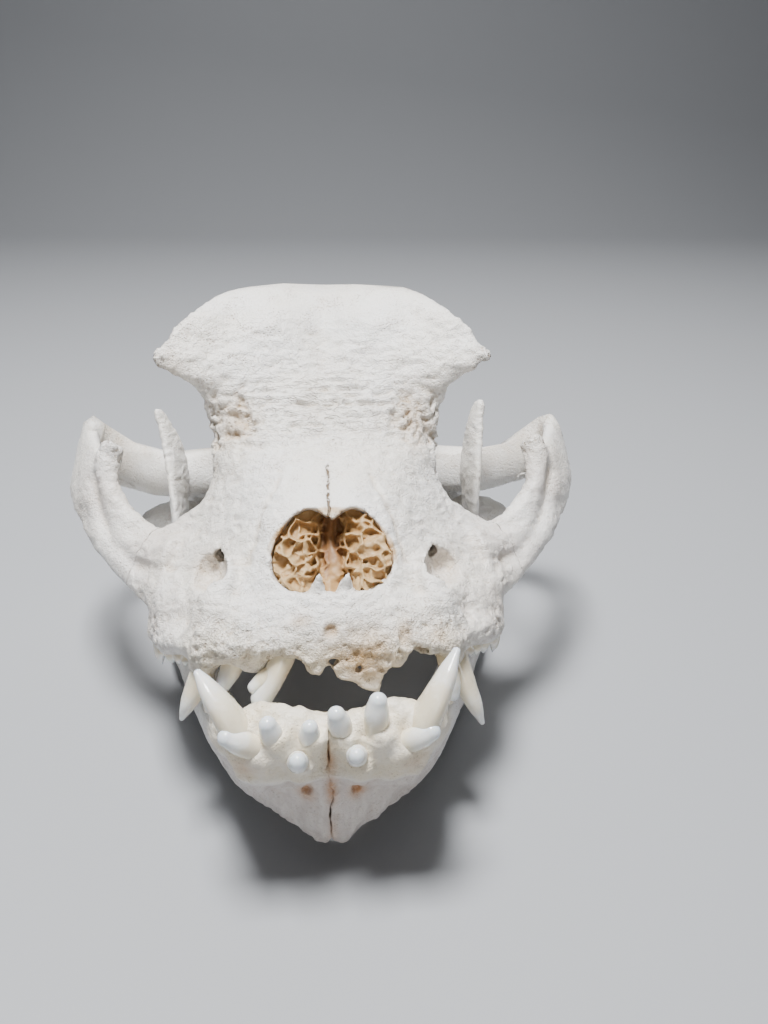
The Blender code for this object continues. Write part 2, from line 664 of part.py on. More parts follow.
INCISORS_UPPER = (
    ((-8.0, 6.5, 13, 2.4), (-9.6, 3.4, 7.0, 2.6), (-11.8, 1.9, 2.4, 2.3), (-13.9, 1.3, -0.9, 2.3)),
    ((-18.0, 8.5, 11, 2.2), (-19.4, 6.3, 6, 2.4), (-20.7, 5.4, 3.2, 2.2), (-21.9, 5.0, 1.0, 1.7)),
    ((24.0, 8, 8, 1.8), (25.0, 5.4, 3, 2.0), (25.7, 4.7, -0.6, 2.1), (26.0, 4.5, -2.9, 1.7)),
)
INCISORS_LOWER_RIGHT = (
    ((-12.0, -8.5, -9, 2.5), (-14.8, -11.8, -5, 2.5), (-17.6, -13, -3, 2.3), (-19.4, -13.6, -1.9, 1.7)),
    ((-9.8, -8.5, -9, 2.2), (-10.4, -11.5, -4.5, 2.3), (-11.2, -13, -1.4, 2.2), (-11.6, -13.7, 0.4, 1.7)),
    ((-4.4, -8, -9, 2.0), (-4.2, -11, -4.6, 2.1), (-3.9, -12.6, -2.0, 2.0), (-3.8, -13.3, -0.7, 1.6)),
    ((-6.3, -9, -11, 1.9), (-6.3, -12, -8.6, 2.0), (-6.2, -14.2, -7.0, 2.0), (-6.2, -15.2, -6.4, 1.6)),
)
INCISORS_LOWER_LEFT = (
    ((2.6, -8, -9, 2.1), (2.3, -11, -3.2, 2.2), (1.6, -12.6, 0.2, 2.2), (1.2, -13.4, 1.8, 1.7)),
    ((5.3, -9, -10, 1.9), (5.2, -12, -7.8, 2.0), (4.9, -14.2, -6.2, 2.0), (4.9, -15.2, -5.7, 1.6)),
    ((8.8, -8.5, -8, 2.2), (8.8, -11.5, -2.0, 2.3), (8.9, -12.6, 1.8, 2.3), (9.1, -13, 4.0, 1.8)),
    ((11.4, -8.5, -9, 2.4), (14.4, -11.5, -5.4, 2.4), (17.2, -12.8, -3.6, 2.3), (19.2, -13.3, -2.4, 1.8)),
)


# Cheek teeth, the animal's left. Each: x, y, edge of the bone, length, width, height, heading, cusps
# as where along the crown from its front (-1) to its back (1) and how much of the height

UPPER_CHEEK = (
    (31.0, 15.5, 2.8, 4.6, 3.2, 2.4, 20, ((-1, 0.3), (-0.1, 1.0), (1, 0.3))),
    (33.4, 21.0, 2.0, 7.2, 3.9, 3.2, 34, ((-1, 0.3), (-0.15, 1.0), (0.5, 0.45), (1, 0.3))),
    (36.4, 27.0, 1.2, 8.4, 4.6, 4.4, 40, ((-1, 0.3), (-0.2, 1.0), (0.5, 0.5), (1, 0.35))),
    (39.6, 35.0, 0.4, 14.0, 6.2, 6.8, 14, ((-1, 0.35), (-0.35, 1.0), (0.1, 0.55), (0.55, 0.8), (1, 0.4))),
    (37.4, 45.0, 0.2, 8.8, 10.0, 2.4, -16, ((-1, 0.6), (-0.4, 1.0), (0.0, 0.6), (0.5, 0.9), (1, 0.5))),
    (34.2, 52.0, 1.4, 5.4, 7.6, 2.2, -34, ((-1, 0.6), (-0.3, 1.0), (0.3, 0.8), (1, 0.5))),
)
LOWER_CHEEK = (
    (21.6, -0.5, -3.6, 3.8, 2.8, 3.2, 35, ((-1, 0.4), (0, 1.0), (1, 0.4))),
    (24.0, 5.5, -5.2, 6.0, 3.4, 1.7, 30, ((-1, 0.35), (-0.1, 1.0), (1, 0.35))),
    (26.2, 12.5, -6.2, 7.0, 3.8, 5.0, 22, ((-1, 0.35), (-0.1, 1.0), (0.5, 0.5), (1, 0.35))),
    (28.4, 20.5, -6.8, 8.4, 4.4, 6.2, 18, ((-1, 0.35), (-0.15, 1.0), (0.5, 0.55), (1, 0.4))),
    (31.6, 32.5, -6.4, 16.5, 6, 8.6, 16,
     ((-1, 0.5), (-0.6, 0.75), (-0.4, 0.6), (0, 1), (0.4, 0.35), (1, 0.26))),
    (35.4, 45.0, -5.2, 7.0, 5.2, 1.9, 16, ((-1, 0.5), (-0.4, 1.0), (0.2, 0.7), (1, 0.5))),
)
CROWN_ROOT = 3.4


def crown(size, direction, around=14):
    """A cheek tooth: its outline at the root, neck, belly and shoulder, and its cusps along the top."""
    x, y, edge, length, width, height, heading, cusps = size
    turn = np.linspace(0, 2 * np.pi, around, endpoint=False)
    c, s = rounded(turn, 2.4)
    ridge = np.interp(c, [place for place, _ in cusps], [tall for _, tall in cusps])
    rings = []
    for along, across, rise in (
        (0.74, 0.62, np.full(around, -CROWN_ROOT / height)),
        (0.86, 0.84, np.zeros(around)),
        (1.0, 1.0, np.full(around, 0.24)),
        (0.97, 0.84, 0.24 + (ridge - 0.24) * 0.62),
        (0.86, 0.42, ridge),
    ):
        lie = np.column_stack([s * across * width / 2, c * along * length / 2])
        angle = math.radians(heading)
        sideways = lie[:, 0] * math.cos(angle) + lie[:, 1] * math.sin(angle)
        backwards = lie[:, 1] * math.cos(angle) - lie[:, 0] * math.sin(angle)
        rings.append(np.column_stack([x + sideways, y + backwards, edge + direction * rise * height]))
    return np.array(rings)


def add_teeth(bone, canines, pegs, cheek, direction, sides, seed):
    """Joins teeth to their bone one by one, the cheek teeth each a little different in height."""
    chance = np.random.default_rng(seed)
    teeth = [spike(rows, 8, 10, 1.5) for rows in canines] + [spike(rows, 6, 8) for rows in pegs]
    for side in sides:
        for size in cheek:
            size = list(size)
            size[5] *= chance.uniform(0.9, 1.0)
            form = crown(size, direction)
            teeth.append(form if side > 0 else mirrored(form))
    for tooth in teeth:
        cut(bone, mesh_object("tooth", [tooth]), operation="UNION")
    return bone


# Cheek bones, parted from the cranium along their two sutures

CHEEK_BOX = ((36, 28, 6), (84, 100, 57))
FRONT_SUTURE, FRONT_FACING = (45.5, 41, 18), (0.88, 0.35, 0.30)
REAR_SUTURE, REAR_FACING = (66, 79, 39), (0, -0.75, -0.66)


def cheek_block(side, shrink):
    """The space a cheek bone takes out of the arch, made smaller by shrink at both sutures."""
    low, high = np.array(CHEEK_BOX, float)
    built = bmesh.new()
    bmesh.ops.create_cube(built, size=1)
    for vert in built.verts:
        vert.co = Vector((low + (np.array(vert.co) + 0.5) * (high - low)) * MM)
    for point, facing in ((FRONT_SUTURE, FRONT_FACING), (REAR_SUTURE, REAR_FACING)):
        normal = Vector(facing).normalized()
        place = (Vector(point) + normal * shrink) * MM
        parts = built.verts[:] + built.edges[:] + built.faces[:]
        bmesh.ops.bisect_plane(built, geom=parts, plane_co=place, plane_no=normal, clear_inner=True)
        rim = [edge for edge in built.edges if edge.is_boundary]
        bmesh.ops.contextual_create(built, geom=rim)
    bmesh.ops.recalc_face_normals(built, faces=built.faces)
    mesh = bpy.data.meshes.new("cheek_block")
    built.to_mesh(mesh)
    built.free()
    obj = bpy.data.objects.new("cheek_block", mesh)
    bpy.context.scene.collection.objects.link(obj)
    return obj if side > 0 else flip(obj)


def part_cheek(cranium, name, side):
    """The cheek bone of one side, cut off the cranium with a thin gap at each suture."""
    cheek = bpy.data.objects.new(name, cranium.data.copy())
    bpy.context.scene.collection.objects.link(cheek)
    cut(cheek, cheek_block(side, GAP / 2), operation="INTERSECT")
    cut(cranium, cheek_block(side, -GAP / 2))
    return keep_largest(cheek)


# Nasal turbinates: thin scrolls on a back wall, either side of the nasal septum

SCROLLS = (
    ((3.0, 6.4), (6.6, 6.2), (9.6, 3.5), (10.9, -1.0), (10.2, -5.0), (7.9, -7.3), (4.8, -7.2)),
    ((3.0, 6.4), (2.5, 3.0), (3.3, -0.6), (2.7, -3.6), (4.8, -7.2)),
    ((2.5, 3.0), (5.2, 3.4), (8.0, 2.2), (10.0, 2.5)),
    ((3.3, -0.6), (6.0, -1.2), (8.6, -0.4), (10.8, -1.4)),
    ((2.7, -3.6), (5.6, -4.2), (8.2, -3.8), (10.3, -4.6)),
    ((6.7, 6.2), (6.4, 4.6), (6.9, 2.7)),
    ((5.0, 3.4), (5.6, 1.2), (4.9, -0.9)),
    ((8.6, 2.2), (8.1, 0.8), (8.4, -0.5)),
    ((6.6, -1.1), (7.2, -2.6), (6.7, -4.1)),
    ((9.1, -0.6), (8.8, -2.4), (9.2, -4.1)),
    ((5.2, -4.1), (5.9, -5.8), (5.5, -7.3)),
    ((8.0, -3.9), (7.7, -5.6), (8.0, -7.3)),
)
SEPTUM = ((0.0, 6.6), (-0.3, 1.0), (0.3, -4.0), (0.0, -8.6))
SCROLL_FRONT, SCROLL_BACK, WALL_FRONT, WALL_BACK = 4.0, 12.5, 11.5, 20.0
SEPTUM_FRONT = 6.5
SCROLL_THICK, SEPTUM_THICK = 0.5, 0.9


def in_nose(across, up, depth):
    """The point at this place across and up the nasal opening and this far behind it."""
    return np.array(NOSTRIL_CENTRE) + (across, 0, 0) + up * NOSE_UP + depth * NOSE_RUN


def turbinate_forms():
    outline = nostril_outline(24, 0.5)
    flat = outline[:, :1] * np.array([1.0, 0, 0]) + outline[:, 1:] * NOSE_UP
    wall = [
        np.array(NOSTRIL_CENTRE) + flat * width + NOSE_RUN * depth
        for depth, width in ((WALL_FRONT, 0.92), (WALL_BACK, 0.79))
    ]
    forms = [np.array(wall)]
    for path in SCROLLS:
        for side in (1, -1):
            rows = []
            for across, up in path:
                front = in_nose(side * across, up, SCROLL_FRONT)
                back = in_nose(side * across, up, SCROLL_BACK)
                rows.append([*front, *back, SCROLL_THICK])
            forms.append(ribbon(rows, rings=16, around=10, squareness=3))
    rows = []
    for across, up in SEPTUM:
        rows.append([*in_nose(across, up, SEPTUM_FRONT), *in_nose(across, up, SCROLL_BACK), SEPTUM_THICK])
    forms.append(ribbon(rows, rings=10, around=10, squareness=3))
    return forms


def build_turbinates():
    turbinates = mesh_object("nasal_turbinates", turbinate_forms())
    fuse(turbinates, TURBINATE_VOXEL, 1)
    reduce_to(turbinates, TURBINATE_TRIANGLES)
    return keep_largest(turbinates)


def floor_block():
    """A slab whose top is the floor, wider than the skull."""
    corners = ((-90, 0), (90, 0), (90, -20), (-90, -20))
    return np.array([[(x, y, z) for x, z in corners] for y in (-120, 120)], float)


def lay_to_rest(nodes):
    """Tips the skull back onto its lower jaw, centres it over the origin and flattens where it touches."""
    for node in nodes:
        node.data.transform(Matrix.Rotation(-REST_TILT, 4, "X"))
    points = np.concatenate([points_of(node) for node in nodes])
    low, high = points.min(0), points.max(0)
    middle = (low + high) / 2
    shift = Vector((-middle[0], -middle[1], -low[2] - FLAT_DEPTH)) * MM
    for node in nodes:
        node.data.transform(Matrix.Translation(shift))
    for node in nodes:
        if points_of(node)[:, 2].min() < 0:
            cut(node, mesh_object("under_floor", [floor_block()]))
            keep_largest(node)


def paint(node, colour, roughness):
    material = bpy.data.materials.new(node.name + "_surface")
    material.use_nodes = True
    shader = material.node_tree.nodes["Principled BSDF"]
    shader.inputs["Base Color"].default_value = colour
    shader.inputs["Roughness"].default_value = roughness
    shader.inputs["Metallic"].default_value = 0.0
    material.diffuse_color = colour
    material.roughness = roughness
    node.data.materials.clear()
    node.data.materials.append(material)


def main():
    for obj in list(bpy.data.objects):
        bpy.data.objects.remove(obj)
    cranium = build_cranium()
    cheek_left = part_cheek(cranium, "zygomatic_left", 1)
    cheek_right = part_cheek(cranium, "zygomatic_right", -1)
    cut(cranium, mesh_object("broken_plate", [broken_plate()]), operation="UNION")
    for spine in NASAL_SPINES:
        cut(cranium, mesh_object("spine", [spike(spine, 4, 7)]), operation="UNION")
    canines = (UPPER_CANINE_LEFT, UPPER_CANINE_RIGHT)
    add_teeth(cranium, canines, INCISORS_UPPER, UPPER_CHEEK, -1, (1, -1), 11)
    keep_largest(cranium)
    jaw_left = build_jaw("mandible_left", 1)
    add_teeth(jaw_left, (LOWER_CANINE_LEFT,), INCISORS_LOWER_LEFT, LOWER_CHEEK, 1, (1,), 12)
    keep_largest(jaw_left)
    jaw_right = build_jaw("mandible_right", -1)
    add_teeth(jaw_right, (LOWER_CANINE_RIGHT,), INCISORS_LOWER_RIGHT, LOWER_CHEEK, 1, (-1,), 13)
    keep_largest(jaw_right)
    turbinates = build_turbinates()
    bones = [cranium, cheek_left, cheek_right, jaw_left, jaw_right]
    for node in bones:
        paint(node, BONE, BONE_ROUGHNESS)
    paint(turbinates, TURBINATE, TURBINATE_ROUGHNESS)
    lay_to_rest(bones + [turbinates])


if __name__ == "__main__":
    main()
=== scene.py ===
# %% [markdown]
# # A short-faced dog's skull
#
# This notebook dresses the imported solids of a dog's skull as bleached bone. The solids give the size,
# the place and the resting pose. The surfaces here are the same named forms at a finer grain, with the
# pits, cracks, broken edges and worn teeth that a real skull shows.
#
# First the imported model is loaded.

import math

import bmesh
import bpy
import numpy as np
from mathutils import Matrix, Vector


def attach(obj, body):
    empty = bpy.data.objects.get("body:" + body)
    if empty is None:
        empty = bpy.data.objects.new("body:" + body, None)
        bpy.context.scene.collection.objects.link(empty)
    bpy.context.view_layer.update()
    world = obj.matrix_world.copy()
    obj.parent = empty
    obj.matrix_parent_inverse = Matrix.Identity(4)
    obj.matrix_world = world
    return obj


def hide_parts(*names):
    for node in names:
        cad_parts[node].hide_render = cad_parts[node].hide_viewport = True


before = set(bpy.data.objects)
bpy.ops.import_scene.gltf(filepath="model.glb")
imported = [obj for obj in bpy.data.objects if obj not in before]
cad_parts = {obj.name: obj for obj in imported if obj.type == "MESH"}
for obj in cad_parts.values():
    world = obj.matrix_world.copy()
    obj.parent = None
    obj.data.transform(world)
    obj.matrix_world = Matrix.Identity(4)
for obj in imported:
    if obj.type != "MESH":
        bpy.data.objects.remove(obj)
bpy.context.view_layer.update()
print("nodes:", sorted(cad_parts))

# %% [markdown]
# ## The skull's own frame
#
# A skull is easiest to measure from its own teeth: x to the animal's left, y backwards from the front of
# the upper jaw and z up from the tooth row, all in millimetres. It lies on its lower jaw with the muzzle
# tipped up, so one turn and one shift carry every finished bone onto the floor.

# %% The resting pose
MM = 0.001
REST_TILT = math.radians(15.9)
REST_SHIFT = (-0.079, -67.909, 37.475)
TO_REST = Matrix.Translation(Vector(REST_SHIFT) * MM) @ Matrix.Rotation(-REST_TILT, 4, "X")
print("muzzle tipped up by", round(math.degrees(REST_TILT), 1), "degrees")

# %% [markdown]
# ## Forms from rows of sizes
#
# A bone could be sculpted, but a sculpture can't be measured or corrected in numbers. Here each bone is a
# set of closed forms whose sizes stand in short tables, and a smooth curve runs through the rows of each.


# %% A smooth curve through rows of sizes
def run_through(rows, count, before=0, after=0):
    """Cubic Hermite curve: each stretch blends its two rows and their slopes, read at even steps of length.

    The rows before its first and after its last only bend its ends.
    """
    rows = np.asarray(rows, float)
    steps = np.linalg.norm(np.diff(rows[:, :3], axis=0), axis=1)
    at = np.concatenate([[0], np.cumsum(np.maximum(steps, 1e-6))])
    slopes = np.gradient(rows, at, axis=0)
    read = np.linspace(at[before], at[len(at) - 1 - after], count)
    k = np.clip(np.searchsorted(at, read, side="right") - 1, 0, len(at) - 2)
    span = (at[k + 1] - at[k])[:, None]
    t = (read - at[k])[:, None] / span
    return (
        (2 * t**3 - 3 * t**2 + 1) * rows[k]
        + (t**3 - 2 * t**2 + t) * span * slopes[k]
        + (3 * t**2 - 2 * t**3) * rows[k + 1]
        + (t**3 - t**2) * span * slopes[k + 1]
    )


def unit(vectors):
    """The same directions with a length of one."""
    return vectors / np.linalg.norm(vectors, axis=-1, keepdims=True)


def circle(count):
    """Evenly spaced angles once round."""
    return np.linspace(0, 2 * np.pi, count, endpoint=False)


def rounded(angle, squareness):
    """Superellipse: the cosine and sine, each to the power 2 / squareness with its sign kept."""
    c, s = np.cos(angle), np.sin(angle)
    power = 2 / squareness
    return np.sign(c) * np.abs(c) ** power, np.sign(s) * np.abs(s) ** power


# %% [markdown]
# Four kinds of form are enough. A loft lies along the head, slices stack upwards for the face, a ribbon is
# a blade between two edges such as the cheek arch, and a spike is round along a path, such as a tooth.


# %% Four kinds of form
BACK_BULGE = 2.0


def loft(rows, rings=72, around=72):
    """Superellipses along y. Rows: y, z of the base, z of the crown, half width at each, squareness."""
    y, low, high, half_low, half_high, square = run_through(rows, rings).T[:, :, None]
    c, s = rounded(circle(around)[None, :], square)
    up = (s + 1) / 2
    x = (half_low + (half_high - half_low) * up) * c
    return np.stack([x, np.broadcast_to(y, x.shape), low + (high - low) * up], axis=-1)


def slices(rows, rings=140, around=70):
    """Outlines stacked along z, alike on both sides, each a smooth curve through its row's points.

    Rows: z, y of the front on the midline, then x and y of four points from there round to the back.
    """
    stacked = []
    for row in run_through(rows, rings):
        side = row[2:].reshape(-1, 2)
        half = np.concatenate([[[0, row[1]]], side, [[0, side[-1, 1] + BACK_BULGE]]])
        other = half * (-1, 1)
        curve = run_through(np.concatenate([other[2:0:-1], half, other[-2:-3:-1]]), around, 2, 1)
        outline = np.concatenate([curve, curve[-2:0:-1] * (-1, 1)])
        stacked.append(np.column_stack([outline, np.full(len(outline), row[0])]))
    return np.array(stacked)


def ribbon(rows, rings=90, around=36, squareness=2.4):
    """A superellipse swept between two edge lines. Rows: one edge, the other edge, half the thickness."""
    keyed = run_through(rows, rings)
    one, other, half = keyed[:, :3], keyed[:, 3:6], keyed[:, 6:7]
    middle, across = (one + other) / 2, (one - other) / 2
    face = np.cross(np.gradient(middle, axis=0), across)
    face /= np.linalg.norm(face, axis=1, keepdims=True) + 1e-9
    c, s = rounded(circle(around), squareness)
    return middle[:, None] + across[:, None] * c[None, :, None] + (face * half)[:, None] * s[None, :, None]


def spike(rows, rings=40, around=28):
    """Circles along a path. Rows: x, y, z, radius."""
    keyed = run_through(rows, rings)
    path, radius = keyed[:, :3], keyed[:, 3:4]
    along = unit(np.gradient(path, axis=0))
    side = unit(np.cross(along, (0, 0, 1.0) if abs(along[:, 2]).max() < 0.9 else (1.0, 0.2, 0)))
    other = np.cross(side, along)
    c, s = np.cos(circle(around))[:, None], np.sin(circle(around))[:, None]
    return path[:, None] + (side[:, None] * c + other[:, None] * s) * radius[:, None]


def ellipsoid(centre, radii, turned=(0, 0, 0), rings=32, around=40):
    """A sphere's angles from pole to pole and round, scaled by the radii and turned by degrees."""
    polar = np.linspace(0.02, np.pi - 0.02, rings)[:, None]
    turn = circle(around)[None, :]
    flat = [np.sin(polar) * np.cos(turn), np.sin(polar) * np.sin(turn), np.cos(polar) + 0 * turn]
    spin = np.eye(3)
    for axis, degrees in zip("XYZ", turned):
        spin = np.array(Matrix.Rotation(math.radians(degrees), 3, axis)) @ spin
    return (np.stack(flat, axis=-1) * np.array(radii)) @ spin.T + np.array(centre)


def mirrored(form):
    """The same form on the animal's other side, its rings run the other way to keep its faces outward."""
    return (form * np.array([-1.0, 1.0, 1.0]))[:, ::-1]


def both(*forms):
    return [side for form in forms for side in (form, mirrored(form))]


# %% [markdown]
# A form is a grid of points. Its skin joins each ring to the next and closes both ends with a pole, so that
# the remesh later finds a closed surface with no hole. The volume's sign tells whether the faces look out.


# %% From forms to a mesh
def shell(form):
    """Points and faces of a closed skin over a form's rings, with a pole at each end, facing outwards.

    The volume is a sixth of the sum, over all triangles, of the first corner times the cross of the others.
    """
    rings, around = form.shape[:2]
    points = np.concatenate([form.reshape(-1, 3), form[0].mean(0)[None], form[-1].mean(0)[None]])
    start, end = rings * around, rings * around + 1
    i = np.arange(around)
    j = (i + 1) % around
    first = np.arange(rings - 1)[:, None] * around
    quads = np.stack([first + i, first + j, first + around + j, first + around + i], axis=-1).reshape(-1, 4)
    last = (rings - 1) * around
    caps = np.concatenate([
        np.stack([np.full(around, start), j, i], axis=-1),
        np.stack([np.full(around, end), last + i, last + j], axis=-1),
    ])
    triangles = np.concatenate([quads[:, :3], quads[:, [0, 2, 3]], caps])
    corner = points[triangles]
    volume = np.einsum("ij,ij->", corner[:, 0], np.cross(corner[:, 1], corner[:, 2])) / 6
    turn = 1 if volume > 0 else -1
    return points, quads[:, ::turn].tolist() + caps[:, ::turn].tolist()


def new_object(name, data):
    obj = bpy.data.objects.new(name, data)
    bpy.context.scene.collection.objects.link(obj)
    return obj


def mesh_object(name, forms):
    """One object that holds the skins of all the forms."""
    points, faces, base = [], [], 0
    for form in forms:
        own, sides = shell(form)
        points.append(own)
        faces += [[v + base for v in side] for side in sides]
        base += len(own)
    mesh = bpy.data.meshes.new(name)
    mesh.from_pydata((np.concatenate(points) * MM).tolist(), [], faces)
    return new_object(name, mesh)


def modified(obj, kind, **settings):
    """Adds a modifier with these settings, and makes what it shows the object's own mesh."""
    modifier = obj.modifiers.new(kind.lower(), kind)
    for name, value in settings.items():
        setattr(modifier, name, value)
    made = bpy.data.meshes.new_from_object(obj.evaluated_get(bpy.context.evaluated_depsgraph_get()))
    obj.modifiers.clear()
    old, obj.data = obj.data, made
    bpy.data.meshes.remove(old)
    return obj


def fuse(obj, voxel):
    """Makes the forms one body, on a grid of this many millimetres."""
    return modified(obj, "REMESH", mode="VOXEL", voxel_size=voxel * MM)


def ease(obj, passes):
    """Rounds creases: each pass moves every point half way to the middle of its neighbours."""
    return modified(obj, "SMOOTH", factor=0.5, iterations=passes)


def cut(obj, form, operation="DIFFERENCE"):
    """Takes one more form away from an object, or joins it on."""
    cutter = mesh_object("cutter", [form])
    modified(obj, "BOOLEAN", object=cutter, operation=operation, solver="MANIFOLD")
    bpy.data.objects.remove(cutter)


def triangle_count(obj):
    obj.data.calc_loop_triangles()
    return len(obj.data.loop_triangles)


def read_points(obj, what):
    flat = np.empty(len(obj.data.vertices) * 3)
    obj.data.vertices.foreach_get(what, flat)
    return flat.reshape(-1, 3)


def points_of(obj):
    return read_points(obj, "co") / MM


def normals_of(obj):
    return read_points(obj, "normal")


def edge_ends(obj):
    """The numbers of the points at the one and the other end of every edge."""
    ends = np.empty(len(obj.data.edges) * 2, int)
    obj.data.edges.foreach_get("vertices", ends)
    return ends.reshape(-1, 2).T


def set_points(obj, points):
    obj.data.vertices.foreach_set("co", (points * MM).ravel())
    obj.data.update()


def press(obj, touches):
    """Soft dents: each moves the points near its centre by push, times a bell curve of their distance."""
    points = points_of(obj)
    moved = points.copy()
    for centre, radii, push in touches:
        moved += bell(points, centre, radii)[:, None] * np.array(push)
    set_points(obj, moved)


print("form helpers ready")

# %% [markdown]
# ## The grain of bone
#
# Real bone is never smooth. It is dimpled by muscles, pierced by blood vessels, and spongy where a thin
# edge has broken. These fields give one number at each point, and the number moves the point along its
# normal. Value noise makes soft lumps, and cell noise makes the rounded pits and the walls between them.


# %% Fields of noise
TABLE_SIZE = 4096
LATTICE_KEYS = np.array([73856093, 19349663, 83492791])


def lattice_key(cell):
    """A repeatable place in the random table for each whole-numbered lattice cell."""
    mixed = cell * LATTICE_KEYS
    return (mixed[:, 0] ^ mixed[:, 1] ^ mixed[:, 2]) % TABLE_SIZE


def soft_noise(points, size, seed):
    """Value noise: random heights at the corners of a lattice, blended with 3t^2 - 2t^3 between them."""
    table = np.random.default_rng(seed).uniform(-1, 1, TABLE_SIZE)
    place = points / size
    cell = np.floor(place).astype(np.int64)
    t = place - cell
    t = t * t * (3 - 2 * t)
    total = np.zeros(len(points))
    for corner in np.ndindex(2, 2, 2):
        weight = np.prod(np.where(np.array(corner) == 1, t, 1 - t), axis=1)
        total += table[lattice_key(cell + corner)] * weight
    return total


def layered(points, size, layers, seed):
    """Soft noise added up in layers, each half the size and half the height of the one before."""
    return sum(soft_noise(points, size / 2**n, seed + n) * 0.5**n for n in range(layers))


def bent(points, size, seed, amount=0.4):
    """The points moved about by soft noise, which hides the lattice of a noise that is read there."""
    sway = np.column_stack([soft_noise(points, size * 1.3, seed + axis) for axis in range(3)])
    return points + amount * size * sway


def crests(points, size, seed):
    """Sharp wandering crests: one less twice the size of a soft noise that is read at bent places."""
    return 1 - 2 * np.minimum(abs(layered(bent(points, size, seed), size, 2, seed + 5)), 1)


def cell_noise(points, size, seed):
    """Distances to the nearest and next of one random point in each lattice cell, in cell widths."""
    spots = np.random.default_rng(seed).uniform(0, 1, (TABLE_SIZE, 3))
    place = points / size
    cell = np.floor(place).astype(np.int64)
    first = np.full(len(points), 9.0)
    second = np.full(len(points), 9.0)
    for step in np.ndindex(3, 3, 3):
        near = cell + np.array(step) - 1
        away = np.linalg.norm(near + spots[lattice_key(near)] - place, axis=1)
        second = np.minimum(second, np.maximum(first, away))
        first = np.minimum(first, away)
    return first, second


def fold(points):
    """The points with the animal's right side laid over its left."""
    return np.column_stack([abs(points[:, 0]), points[:, 1:]])


def bell(points, centre, radii):
    """A bell curve, 1 at the centre and 0.22 at the radii."""
    return np.exp(-1.5 * (((points - np.array(centre)) / np.array(radii)) ** 2).sum(1))


def bells(points, spots):
    """The highest of several bells and of their mirror images."""
    return np.max([bell(fold(points), *spot) for spot in spots], axis=0)


def path_distance(points, path):
    """Distance from each point to the nearest point of a broken line."""
    best = np.full(len(points), 1e9)
    path = np.array(path, float)
    for start, end in zip(path[:-1], path[1:]):
        run = end - start
        t = np.clip(((points - start) @ run) / (run @ run), 0, 1)
        best = np.minimum(best, np.linalg.norm(points - start - t[:, None] * run, axis=1))
    return best


def band(points, path, width):
    """1 on a broken line, falling to 0.22 at this width beside it."""
    return np.exp(-1.5 * (path_distance(points, path) / width) ** 2)


# %% [markdown]
# Dirt and grease stay in the hollows when a skull is cleaned, and the hollows are also darkened as painted
# shade, so the colour needs to know where the hollows are. A point is in one where the middle of its
# neighbourhood lies further out than it does.


# %% Hollows, and numbers kept on the mesh
def hollows(obj, passes):
    """How far the middle of each point's neighbourhood stands out from it along its normal, in millimetres.

    Each pass averages every point's place with the mean place of its neighbours.
    """
    points = points_of(obj)
    one, other = edge_ends(obj)
    count = len(points)
    links = np.maximum(np.bincount(np.concatenate([one, other]), minlength=count), 1)
    middles = points.copy()
    for _ in range(passes):
        for axis in range(3):
            column = middles[:, axis]
            total = np.bincount(one, column[other], count) + np.bincount(other, column[one], count)
            middles[:, axis] = (column + total / links) / 2
    return ((middles - points) * normals_of(obj)).sum(1)


def keep(obj, name, values):
    """Stores one number a point, for the material to read."""
    attribute = obj.data.attributes.new(name, "FLOAT", "POINT")
    attribute.data.foreach_set("value", np.clip(values, 0, 1).astype(np.float32))


def raise_by(obj, heights):
    """Moves each point along its normal."""
    set_points(obj, points_of(obj) + normals_of(obj) * heights[:, None])


def ramp(values, low, high):
    """0 at low, 1 at high, and smooth between."""
    t = np.clip((values - low) / (high - low), 0, 1)
    return t * t * (3 - 2 * t)


print("noise at the origin:", round(float(layered(np.zeros((1, 3)) + 0.3, 4.0, 3, 1)[0]), 4))

# %% [markdown]
# ## The upper skull
#
# In a short-faced dog the muzzle is pushed back under the eyes. The forehead rises steeply to a flat top,
# the brow ends in a blunt point over each eye, and the cheek arches swing out wide. The face is stacked
# from level outlines, because its front is what one sees, and the braincase is lofted along the head.

